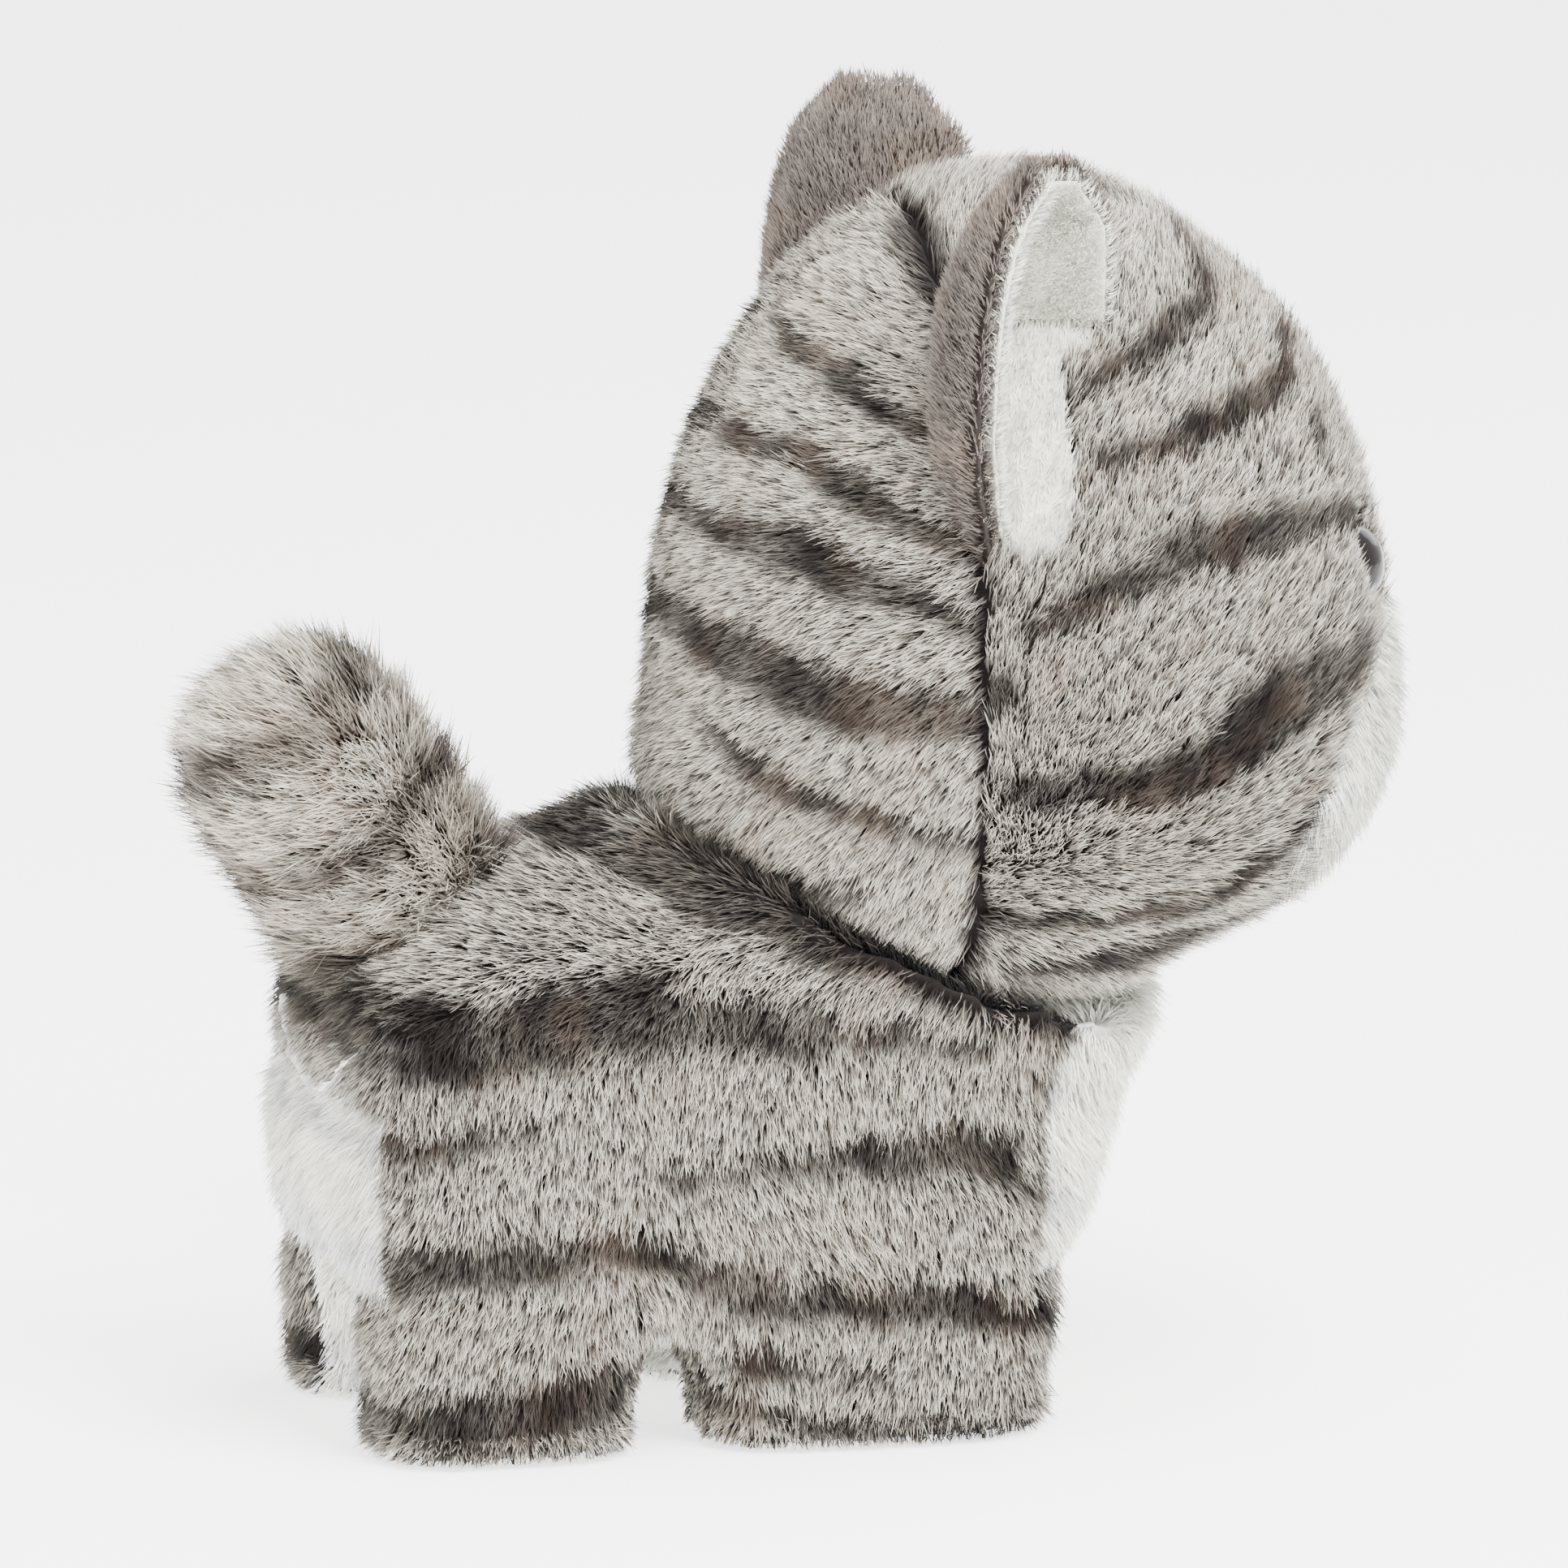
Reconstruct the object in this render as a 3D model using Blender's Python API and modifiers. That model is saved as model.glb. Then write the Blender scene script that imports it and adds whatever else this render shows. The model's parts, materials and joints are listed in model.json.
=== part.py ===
"""Plush tabby kitten standing on four short legs: sewn pile-fabric panels over stuffing.

The kitten faces -Y, its left side is +X, and it stands on Z = 0. Each panel is a layer of pile
fabric cut from the outside form of its body part, with the stuffing inside as its own solid.
"""
import math

import bmesh
import bpy
from mathutils import Matrix, Vector

# ---------------------------------------------------------------- driving dimensions, metres
SEAM_GAP = 0.0003          # between two pieces that touch
PILE = 0.006               # long pile fabric, backing and fur
SHORT_PILE = 0.003         # ear fabric, each layer
SOLE_THICKNESS = 0.0025
STUFFING_GAP = 0.0015      # stuffing to the covers round it

BODY_Y = 0.0295            # middle of the side panels
BODY_WIDTH = 0.109
BODY_HALF_LENGTH = 0.0715  # side panels, from the middle to a foot's end
BACK_HEIGHT = 0.117
BACK_RISE = 0.005          # the back climbs towards the head
BACK_CROWN = 0.013         # how much lower the back is at its sides
BELLY_HEIGHT = 0.021
CHEST_BULGE = 0.032        # ahead of the side panels
RUMP_BULGE = 0.002
RUMP_SLOPE = 0.020         # how far the back drops at its rear end
FOOT_ROUND = 0.009         # how far a foot's middle stands ahead of its corners
CHEST_FROM = 0.1           # height where the chest starts to swell, as a share of the back's
CHEST_FULL = 0.6           # and where it is fullest
BODY_TAPER = 0.05          # share of its width that the body loses from mid height to its back
LEG_GAP_WIDTH = 0.018      # left to right, between the legs
LEG_GAP_LENGTH = 0.008     # front to rear, between the legs
LEG_GAP_Y = 0.0045         # its middle, behind the body's middle

SEAM_X = 0.041             # side panel to chest and rump panels
LEG_SEAM_X = 0.021         # side panel to belly panel, on the legs
BELLY_SEAM_Z = 0.033
CHEST_SEAM_Y = 0.058       # ahead of the body's middle
RUMP_SEAM_Y = 0.045        # behind it
RUMP_TOP_Z = 0.067

HEAD_Y = -0.0440           # head's vertical centre line
HEAD_HALF_WIDTH = 0.078
HEAD_HALF_DEPTH = 0.0735
HEAD_WIDEST_Z = 0.140
HEAD_ABOVE = 0.102         # above its widest level
HEAD_BELOW = 0.0615        # and below it
HEAD_JOWL = 2.3            # 2 gives an ellipse below the widest level, more is fuller
MUZZLE_BULGE = 0.0035
MUZZLE_Z = 0.130
MUZZLE_SPREAD_X = 0.036
MUZZLE_SPREAD_Z = 0.022
HEAD_SEAM_BACK = 0.022     # side seam, behind the head's centre line
HEAD_CLEARANCE = 0.005     # head to body, for turning and nodding

FACE_HALF_WIDTH = 0.050    # white lower face, seen from the front
FACE_HALF_HEIGHT = 0.029
FACE_Z = 0.127

NECK_RADIUS = 0.021        # ball of stuffing in the neck
NECK_Z = 0.0865

EYE_RADIUS = 0.0075
EYE_DOME = 0.0055          # dome height above its rim
EYE_SEAT = 0.0030          # how deep the rim sits in the pile
EYE_X = 0.0300
EYE_Z = 0.1640
STEM_RADIUS = 0.0022
STEM_LENGTH = 0.0120
WASHER_RADIUS = 0.0075
WASHER_THICKNESS = 0.0015
WASHER_DEPTH = PILE + 0.0020  # below the surface of the pile
STEM_FIT = 0.0003          # all round, in its hole and in the washer
EYE_RIM = 0.0012           # thickness below the dome
WASHER_POCKET = 0.010      # reach of the hollow above the washer, to outside the stuffing

NOSE_WIDTH = 0.0120
NOSE_HEIGHT = 0.0080
NOSE_DEPTH = 0.0060
NOSE_Z = 0.1430
MOUTH_THREAD = 0.0008      # radius
MOUTH_HALF_WIDTH = 0.0110
MOUTH_DROP = 0.0060
MOUTH_STAND_OFF = 0.0013   # thread centre, ahead of the face

EAR_WIDTH = 0.047
EAR_TOP_Z = 0.2455
EAR_FOOT_Z = 0.166         # inside the head, before it is trimmed to the head
EAR_CUP = 0.032            # depth of the cup at its foot
EAR_FOOT_SHARE = 0.62      # width at the foot, as a share of the widest
EAR_WIDEST = 0.45          # how far up the ear is widest
EAR_X = 0.0590             # middle of the opening, from the head's centre line
EAR_BACK = 0.0080          # and behind it
EAR_LEAN = 0.0070          # outwards, from foot to tip
EAR_TURN = math.radians(48)  # opening, turned outwards from straight ahead
EAR_SQUARE = 4.5           # 2 gives a round tip, more is broader
EAR_TIP = 0.985            # how far up the taper runs before the top edge
EAR_FLATTENING = 0.45      # share of the cup's depth lost from foot to tip
EAR_CLEARANCE = 0.0025     # ear to head, for folding

TAIL_RADIUS = 0.0250
TAIL_STRAIGHT = 0.028      # between the centres of its round ends
TAIL_Y = 0.0500            # root centre, behind the body's middle
TAIL_Z = 0.1050
TAIL_TILT = math.radians(33)  # rearwards from straight up
TAIL_MOUTH = 0.014         # radius of the cover's open end
SOCKET_REACH = 0.050       # of the hollow cut for the tail, past the body's surface
TAIL_CLEARANCE = 0.0008
TAIL_SWING = math.radians(14)  # room for it to each side

POUCH_HALF_WIDTH = 0.027   # pouch of pellets on the belly
POUCH_HALF_LENGTH = 0.043
POUCH_HALF_HEIGHT = 0.007
POUCH_SHOWS = 0.002        # of the pouch, below the trunk's stuffing

FAR = 0.5                  # a cutter's side that has to reach past everything


# ---------------------------------------------------------------- scene and helpers
for old in list(bpy.data.objects):
    bpy.data.objects.remove(old, do_unlink=True)

parts = bpy.data.collections.new("plush_cat")
tools = bpy.data.collections.new("cutters")
bpy.context.scene.collection.children.link(parts)
bpy.context.scene.collection.children.link(tools)


def material(name, colour, roughness):
    made = bpy.data.materials.new(name)
    made.use_nodes = True
    shader = made.node_tree.nodes["Principled BSDF"]
    shader.inputs["Base Color"].default_value = (*colour, 1.0)
    shader.inputs["Roughness"].default_value = roughness
    shader.inputs["Metallic"].default_value = 0.0
    return made


TABBY = material("tabby_plush", (0.36, 0.33, 0.30), 0.95)
WHITE = material("white_plush", (0.87, 0.87, 0.84), 0.95)
TAUPE = material("ear_plush", (0.20, 0.17, 0.16), 0.95)
LINING = material("ear_lining", (0.88, 0.88, 0.84), 0.95)
STUFFING = material("stuffing", (0.92, 0.92, 0.90), 1.0)
PELLETS = material("pellet_pouch", (0.80, 0.78, 0.72), 0.8)
EYE = material("eye_plastic", (0.012, 0.010, 0.010), 0.08)
WASHER = material("washer_plastic", (0.75, 0.75, 0.75), 0.4)
NOSE = material("nose_thread", (0.72, 0.38, 0.38), 0.7)
THREAD = material("mouth_thread", (0.10, 0.07, 0.06), 0.7)


def add_object(name, bm, look=None, collection=parts):
    mesh = bpy.data.meshes.new(name)
    bm.to_mesh(mesh)
    bm.free()
    mesh.shade_smooth()
    made = bpy.data.objects.new(name, mesh)
    collection.objects.link(made)
    if look is not None:
        mesh.materials.append(look)
    return made


def as_cutter(obj):
    obj.hide_render = True
    obj.display_type = "WIRE"
    return obj


def box_mesh(low, high):
    """A box from its lowest corner to its highest one."""
    bm = bmesh.new()
    bmesh.ops.create_cube(bm, size=1.0)
    for v in bm.verts:
        v.co = Vector(low[i] + (v.co[i] + 0.5) * (high[i] - low[i]) for i in range(3))
    return bm


def box(name, low, high):
    return as_cutter(add_object(name, box_mesh(low, high), collection=tools))


def ball(name, centre, radii, segments=20, rings=12, look=None, collection=tools):
    bm = bmesh.new()
    bmesh.ops.create_uvsphere(bm, u_segments=segments, v_segments=rings, radius=1.0)
    for v in bm.verts:
        v.co = Vector(centre[i] + v.co[i] * radii[i] for i in range(3))
    return add_object(name, bm, look, collection)


def combine(obj, operation, *cutters):
    """Cuts with the MANIFOLD solver: EXACT drops shells here that are cut more than once."""
    for cutter in cutters:
        cut = obj.modifiers.new(cutter.name, "BOOLEAN")
        cut.operation = operation
        cut.object = cutter
        cut.solver = "MANIFOLD"
    return obj


def turned(name, profile, place, look=None, collection=tools, steps=14):
    """A profile of (radius, height), from its top down, turned about its own axis."""
    bm = bmesh.new()
    closed = profile[0] == profile[-1]
    chain = [bm.verts.new((r, 0.0, h)) for r, h in profile[:-1 if closed else None]]
    for a, b in zip(chain, chain[1:] + chain[:1] if closed else chain[1:]):
        bm.edges.new((a, b))
    made = add_object(name, bm, look, collection)
    spin = made.modifiers.new("turned", "SCREW")
    spin.steps = steps
    spin.render_steps = steps
    spin.use_merge_vertices = True
    spin.merge_threshold = 0.00005
    made.matrix_world = place
    return made


def grown(low, high, by):
    """The same box with its finite sides moved out by a distance."""
    return (
        tuple(x if x <= -FAR else x - by for x in low),
        tuple(x if x >= FAR else x + by for x in high),
    )


# ---------------------------------------------------------------- outside forms
def head_point(unit, grow=0.0):
    """A point of the unit ball taken to the head's surface, or that far outside it."""
    x, y, z = unit
    if z < 0:
        ring = math.hypot(x, y)
        full = math.sqrt(max(0.0, 1 - abs(z) ** HEAD_JOWL))
        share = full / ring if ring > 1e-6 else 0.0
        x, y = x * share, y * share
    height = HEAD_ABOVE if z > 0 else HEAD_BELOW
    point = Vector((x * (HEAD_HALF_WIDTH + grow), y * (HEAD_HALF_DEPTH + grow), z * (height + grow)))
    point += Vector((0, HEAD_Y, HEAD_WIDEST_Z))
    if y < 0:
        near = (point.x / MUZZLE_SPREAD_X) ** 2 + ((point.z - MUZZLE_Z) / MUZZLE_SPREAD_Z) ** 2
        point.y -= MUZZLE_BULGE * math.exp(-near)
    return point


def head_form(name, grow=0.0, look=None, collection=tools, segments=24, rings=14):
    bm = bmesh.new()
    bmesh.ops.create_uvsphere(bm, u_segments=segments, v_segments=rings, radius=1.0)
    for v in bm.verts:
        v.co = head_point(v.co, grow)
    return add_object(name, bm, look, collection)


def head_front(x, z, grow=0.0):
    """Where a line from the front, at this x and z, meets the head."""
    height = HEAD_ABOVE if z > HEAD_WIDEST_Z else HEAD_BELOW
    power = 2.0 if z > HEAD_WIDEST_Z else HEAD_JOWL
    up = abs(z - HEAD_WIDEST_Z) / (height + grow)
    ring = 1 - up**power
    side = x / (HEAD_HALF_WIDTH + grow)
    y = HEAD_Y - (HEAD_HALF_DEPTH + grow) * math.sqrt(max(0.0, ring - side * side))
    near = (x / MUZZLE_SPREAD_X) ** 2 + ((z - MUZZLE_Z) / MUZZLE_SPREAD_Z) ** 2
    return Vector((x, y - MUZZLE_BULGE * math.exp(-near), z))


def head_normal(x, z):
    step = 0.001
    across = head_front(x + step, z) - head_front(x - step, z)
    up = head_front(x, z + step) - head_front(x, z - step)
    return across.cross(up).normalized()


COLUMNS = (
    -BODY_WIDTH / 2,
    -(BODY_WIDTH / 2 + LEG_GAP_WIDTH / 2) / 2,
    -LEG_GAP_WIDTH / 2,
    LEG_GAP_WIDTH / 2,
    (BODY_WIDTH / 2 + LEG_GAP_WIDTH / 2) / 2,
    BODY_WIDTH / 2,
)
ROWS = (
    -BODY_HALF_LENGTH,
    (-BODY_HALF_LENGTH + LEG_GAP_Y - LEG_GAP_LENGTH / 2) / 2,
    LEG_GAP_Y - LEG_GAP_LENGTH / 2,
    LEG_GAP_Y + LEG_GAP_LENGTH / 2,
    (BODY_HALF_LENGTH + LEG_GAP_Y + LEG_GAP_LENGTH / 2) / 2,
    BODY_HALF_LENGTH,
)
LEG_CELLS = (0, 1, 3, 4)
TRUNK_LEVELS = (0.42, 0.74, 1.0)  # shares of the way from belly to back
LEG_LEVELS = (0.45, 0.0)          # shares of the belly's height
FOOT_CREASE = 0.75


def draw_out(bm, faces, keep):
    """Extrudes faces and gives the new ones; the old ones go unless they close the other side."""
    made = bmesh.ops.extrude_face_region(bm, geom=faces)
    if not keep:
        bmesh.ops.delete(bm, geom=[f for f in faces if f.is_valid], context="FACES")
    return [g for g in made["geom"] if isinstance(g, bmesh.types.BMFace)]


def body_cage():
    """A box with four legs drawn down from its corners, for Subdivision Surface to round."""
    bm = bmesh.new()
    cells = len(COLUMNS) - 1
    bmesh.ops.create_grid(bm, x_segments=cells, y_segments=cells, size=1.0)
    feet = {(side, end): [] for side in (False, True) for end in (False, True)}
    for f in bm.faces:
        middle = f.calc_center_median()
        column = int((middle.x + 1) / 2 * cells)
        row = int((middle.y + 1) / 2 * cells)
        if column in LEG_CELLS and row in LEG_CELLS:
            feet[(column > cells / 2, row > cells / 2)].append(f)
    for v in bm.verts:
        column = round((v.co.x + 1) / 2 * cells)
        row = round((v.co.y + 1) / 2 * cells)
        v.co = Vector((COLUMNS[column], ROWS[row], BELLY_HEIGHT))
    top = list(bm.faces)
    for level, height in enumerate(TRUNK_LEVELS):
        top = draw_out(bm, top, keep=level == 0)
        for v in {v for f in top for v in f.verts}:
            v.co.z = BELLY_HEIGHT + (BACK_HEIGHT - BELLY_HEIGHT) * height
    for foot in feet.values():
        for height in LEG_LEVELS:
            foot = draw_out(bm, foot, keep=False)
            for v in {v for f in foot for v in f.verts}:
                v.co.z = BELLY_HEIGHT * height
    bmesh.ops.recalc_face_normals(bm, faces=bm.faces)
    crease = bm.edges.layers.float.new("crease_edge")
    for e in bm.edges:
        low = all(v.co.z < 1e-6 for v in e.verts)
        if low and any(f.normal.z > -0.9 for f in e.link_faces):
            e[crease] = FOOT_CREASE
    for v in bm.verts:
        v.co = body_shape(v.co)
    return bm


def body_shape(at):
    """Bends the box: round chest and rump, crowned back that climbs to the head."""
    x, y, z = at
    side = x / (BODY_WIDTH / 2)
    end = y / BODY_HALF_LENGTH
    height = z / BACK_HEIGHT
    round_plan = 1 - side * side
    if end < 0:
        swell = min(1.0, max(0.0, (height - CHEST_FROM) / (CHEST_FULL - CHEST_FROM)))
        bulge = FOOT_ROUND + (CHEST_BULGE - FOOT_ROUND) * swell
    else:
        bulge = RUMP_BULGE
    y += math.copysign(bulge * round_plan * abs(end) ** 3, end)
    if height > 0.9:
        z += BACK_RISE * (0.5 - end) - BACK_CROWN * side * side - RUMP_SLOPE * max(0.0, end) ** 3
    x *= 1 - BODY_TAPER * max(0.0, 2 * height - 1)
    return Vector((x, y + BODY_Y, z))


BODY_CAGE_LEVELS = 1
WAD_LEVELS = 2


def body_form(name, inset=0.0, look=None, collection=tools):
    made = add_object(name, body_cage(), look, collection)
    smooth = made.modifiers.new("rounded", "SUBSURF")
    smooth.levels = BODY_CAGE_LEVELS
    smooth.render_levels = BODY_CAGE_LEVELS
    if inset:
        shrink = made.modifiers.new("inset", "DISPLACE")
        shrink.direction = "NORMAL"
        shrink.mid_level = 0.0
        shrink.strength = -inset
    return made


# ---------------------------------------------------------------- places the parts meet
NECK = Vector((0, HEAD_Y, NECK_Z))
TAIL_ROOT = Vector((0, BODY_Y + TAIL_Y, TAIL_Z))
TAIL_AXIS = Vector((0, math.sin(TAIL_TILT), math.cos(TAIL_TILT)))

tail_place = Matrix.Translation(TAIL_ROOT) @ TAIL_AXIS.to_track_quat("Z", "Y").to_matrix().to_4x4()
SOCKET_STEPS = 6

neck_hole = as_cutter(ball("neck_hole", NECK, [NECK_RADIUS + SEAM_GAP] * 3))


def tail_socket(name, grow):
    """A round cup for the tail's root that widens upwards, so that the tail can swing in it."""
    radius = TAIL_RADIUS + TAIL_CLEARANCE + grow
    mouth = radius + SOCKET_REACH * math.tan(TAIL_SWING)
    profile = [(0.0, SOCKET_REACH), (mouth, SOCKET_REACH)]
    for step in range(SOCKET_STEPS + 1):
        angle = math.pi / 2 * step / SOCKET_STEPS
        profile.append((radius * math.cos(angle), -radius * math.sin(angle)))
    return as_cutter(turned(name, profile, tail_place, steps=18))


head_recess = as_cutter(head_form("head_recess", HEAD_CLEARANCE))
head_recess_inner = as_cutter(head_form("head_recess_inner", HEAD_CLEARANCE + PILE))
head_recess_fill = as_cutter(head_form("head_recess_fill", HEAD_CLEARANCE + PILE + STUFFING_GAP))
tail_recess = tail_socket("tail_recess", 0.0)
tail_recess_inner = tail_socket("tail_recess_inner", PILE)
tail_recess_fill = tail_socket("tail_recess_fill", PILE + STUFFING_GAP)

# ---------------------------------------------------------------- body covers
body_inside = as_cutter(body_form("body_inside", PILE))
combine(body_inside, "DIFFERENCE", head_recess_inner, tail_recess_inner)

sole_slab = box("sole_slab", (-FAR, -FAR, -FAR), (FAR, FAR, SOLE_THICKNESS + SEAM_GAP))
CHEST_ZONE = (
    (-SEAM_X, -FAR, BELLY_SEAM_Z),
    (SEAM_X, BODY_Y - CHEST_SEAM_Y, FAR),
)
RUMP_ZONE = (
    (-SEAM_X, BODY_Y + RUMP_SEAM_Y, BELLY_SEAM_Z),
    (SEAM_X, FAR, RUMP_TOP_Z),
)
BELLY_ZONE = ((-LEG_SEAM_X, -FAR, -FAR), (LEG_SEAM_X, FAR, BELLY_SEAM_Z - SEAM_GAP))
white_zones = []
for zone_name, zone in (("chest", CHEST_ZONE), ("rump", RUMP_ZONE), ("belly", BELLY_ZONE)):
    white_zones.append(box(zone_name + "_zone_out", *grown(*zone, SEAM_GAP)))
chest_zone = box("chest_zone", *CHEST_ZONE)
rump_zone = box("rump_zone", *RUMP_ZONE)
belly_zone = box("belly_zone", *BELLY_ZONE)
left_half = box("left_half", (SEAM_GAP / 2, -FAR, -FAR), (FAR, FAR, FAR))
right_half = box("right_half", (-FAR, -FAR, -FAR), (-SEAM_GAP / 2, FAR, FAR))


def body_panel(name, look, keep, remove=()):
    panel = body_form(name, look=look, collection=parts)
    combine(panel, "INTERSECT", keep)
    combine(panel, "DIFFERENCE", *remove, head_recess, tail_recess, body_inside, neck_hole, sole_slab)
    return panel


body_panel("body_side_left", TABBY, left_half, white_zones)
body_panel("body_side_right", TABBY, right_half, white_zones)
body_panel("chest_panel", WHITE, chest_zone)
body_panel("rump_panel", WHITE, rump_zone)
body_panel("belly_panel", WHITE, belly_zone)

# ---------------------------------------------------------------- soles, stuffing and pellets
LEG_GAP_FRONT = BODY_Y + LEG_GAP_Y - LEG_GAP_LENGTH / 2
LEG_GAP_REAR = LEG_GAP_FRONT + LEG_GAP_LENGTH
FRONT_END = BODY_Y - BODY_HALF_LENGTH
REAR_END = BODY_Y + BODY_HALF_LENGTH
LEGS = {
    "front_left": (1, FRONT_END, LEG_GAP_FRONT),
    "front_right": (-1, FRONT_END, LEG_GAP_FRONT),
    "rear_left": (1, LEG_GAP_REAR, REAR_END),
    "rear_right": (-1, LEG_GAP_REAR, REAR_END),
}
for leg, (side, leg_front, leg_rear) in LEGS.items():
    beside = sorted((0.0, side * FAR))
    ends = (-FAR, LEG_GAP_REAR) if leg_front < LEG_GAP_FRONT else (LEG_GAP_FRONT, FAR)
    sole_zone = box("sole_zone_" + leg, (beside[0], ends[0], -FAR), (beside[1], ends[1], SOLE_THICKNESS))
    sole = body_form("sole_" + leg, look=TABBY, collection=parts)
    combine(sole, "INTERSECT", sole_zone)

    inside = PILE + STUFFING_GAP
    across = sorted((side * (LEG_GAP_WIDTH / 2 + inside), side * (BODY_WIDTH / 2 - inside)))
    lump_low = (across[0], leg_front + inside, SOLE_THICKNESS + inside)
    lump_high = (across[1], leg_rear - inside, BELLY_SEAM_Z - SEAM_GAP)
    wad = add_object("stuffing_leg_" + leg, box_mesh(lump_low, lump_high), STUFFING)
    rounded = wad.modifiers.new("rounded", "SUBSURF")
    rounded.levels = WAD_LEVELS
    rounded.render_levels = WAD_LEVELS

POUCH = Vector((0, BODY_Y, BELLY_SEAM_Z + POUCH_HALF_HEIGHT + SEAM_GAP))
POUCH_HALF = (POUCH_HALF_WIDTH, POUCH_HALF_LENGTH, POUCH_HALF_HEIGHT)
ball("pellet_pouch", POUCH, POUCH_HALF, 20, 8, PELLETS, parts)
pouch_hollow = as_cutter(ball("pouch_hollow", POUCH, [h + SEAM_GAP for h in POUCH_HALF], 20, 8))

trunk_zone = box("trunk_zone", (-FAR, -FAR, BELLY_SEAM_Z + POUCH_SHOWS), (FAR, FAR, FAR))
body_stuffing = body_form("stuffing_body", PILE + STUFFING_GAP, STUFFING, parts)
combine(body_stuffing, "INTERSECT", trunk_zone)
combine(body_stuffing, "DIFFERENCE", head_recess_fill, tail_recess_fill, neck_hole, pouch_hollow)

ball("stuffing_neck", NECK, [NECK_RADIUS] * 3, look=STUFFING, collection=parts)

# ---------------------------------------------------------------- head covers
head_inside = as_cutter(head_form("head_inside", -PILE))
seam_y = HEAD_Y + HEAD_SEAM_BACK
behind_left = box("behind_left", (SEAM_GAP / 2, seam_y + SEAM_GAP, -FAR), (FAR, FAR, FAR))
behind_right = box("behind_right", (-FAR, seam_y + SEAM_GAP, -FAR), (-SEAM_GAP / 2, FAR, FAR))
ahead_left = box("ahead_left", (SEAM_GAP / 2, -FAR, -FAR), (FAR, seam_y, FAR))
ahead_right = box("ahead_right", (-FAR, -FAR, -FAR), (-SEAM_GAP / 2, seam_y, FAR))


def face_zone(name, grow):
    """An oval bar through the front of the head, where the white lower face is."""
    bm = bmesh.new()
    bmesh.ops.create_cone(bm, cap_ends=True, segments=36, radius1=1.0, radius2=1.0, depth=1.0)
    bmesh.ops.rotate(bm, verts=bm.verts, matrix=Matrix.Rotation(math.pi / 2, 3, "X"))
    for v in bm.verts:
        v.co.x *= FACE_HALF_WIDTH + grow
        v.co.z = FACE_Z + v.co.z * (FACE_HALF_HEIGHT + grow)
        v.co.y = HEAD_Y - HEAD_HALF_DEPTH / 4 + (v.co.y - 0.5) * FAR
    return as_cutter(add_object(name, bm, collection=tools))


face_hole = face_zone("face_hole", SEAM_GAP)
face_keep = face_zone("face_keep", 0.0)


def eye_profile(grow):
    """Dome, flat back and stem, from the dome's top down to the stem's end."""
    points = []
    for step in range(5):
        angle = math.pi / 2 * step / 4
        points.append(((EYE_RADIUS + grow) * math.sin(angle), (EYE_DOME + grow) * math.cos(angle)))
    back = -EYE_RIM - grow
    points.append((EYE_RADIUS + grow, back))
    points.append((STEM_RADIUS + grow, back))
    points.append((STEM_RADIUS + grow, -STEM_LENGTH - grow))
    points.append((0.0, -STEM_LENGTH - grow))
    return points


def facing(at, normal):
    """A place at a point of the head, with its own Z along the surface's normal."""
    return Matrix.Translation(at) @ normal.to_track_quat("Z", "Y").to_matrix().to_4x4()


eye_cutters = []
for side, sign in (("left", 1), ("right", -1)):
    on_face = head_front(sign * EYE_X, EYE_Z)
    outwards = head_normal(sign * EYE_X, EYE_Z)
    seat = facing(on_face - outwards * EYE_SEAT, outwards)
    turned("eye_" + side, eye_profile(0.0), seat, EYE, parts)
    eye_cutters.append(as_cutter(turned("eye_seat_" + side, eye_profile(STEM_FIT), seat)))

    washer_place = facing(on_face - outwards * WASHER_DEPTH, outwards)
    hole = STEM_RADIUS + STEM_FIT
    ring = [
        (hole, 0.0),
        (WASHER_RADIUS, 0.0),
        (WASHER_RADIUS, -WASHER_THICKNESS),
        (hole, -WASHER_THICKNESS),
        (hole, 0.0),
    ]
    turned("eye_washer_" + side, ring, washer_place, WASHER, parts)
    pocket = [
        (0.0, WASHER_POCKET),
        (WASHER_RADIUS + SEAM_GAP, WASHER_POCKET),
        (WASHER_RADIUS + SEAM_GAP, -WASHER_THICKNESS - SEAM_GAP),
        (0.0, -WASHER_THICKNESS - SEAM_GAP),
    ]
    eye_cutters.append(as_cutter(turned("washer_pocket_" + side, pocket, washer_place)))

nose_at = head_front(0.0, NOSE_Z)
NOSE_HALF = (NOSE_WIDTH / 2, NOSE_DEPTH / 2, NOSE_HEIGHT / 2)
ball("nose", nose_at, NOSE_HALF, 12, 8, NOSE, parts)
nose_seat = as_cutter(ball("nose_seat", nose_at, [h + SEAM_GAP for h in NOSE_HALF], 12, 8))


def head_panel(name, look, keep, remove=()):
    panel = head_form(name, look=look, collection=parts)
    combine(panel, "INTERSECT", keep)
    combine(panel, "DIFFERENCE", *remove, head_inside, neck_hole)
    return panel


head_panel("head_back_left", TABBY, behind_left)
head_panel("head_back_right", TABBY, behind_right)
head_panel("head_side_left", TABBY, ahead_left, (face_hole, eye_cutters[0]))
head_panel("head_side_right", TABBY, ahead_right, (face_hole, eye_cutters[2]))
head_panel("face_panel", WHITE, face_keep, (nose_seat,))

head_stuffing = head_form("stuffing_head", -PILE - STUFFING_GAP, STUFFING, parts)
combine(head_stuffing, "DIFFERENCE", neck_hole, *eye_cutters)

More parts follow.
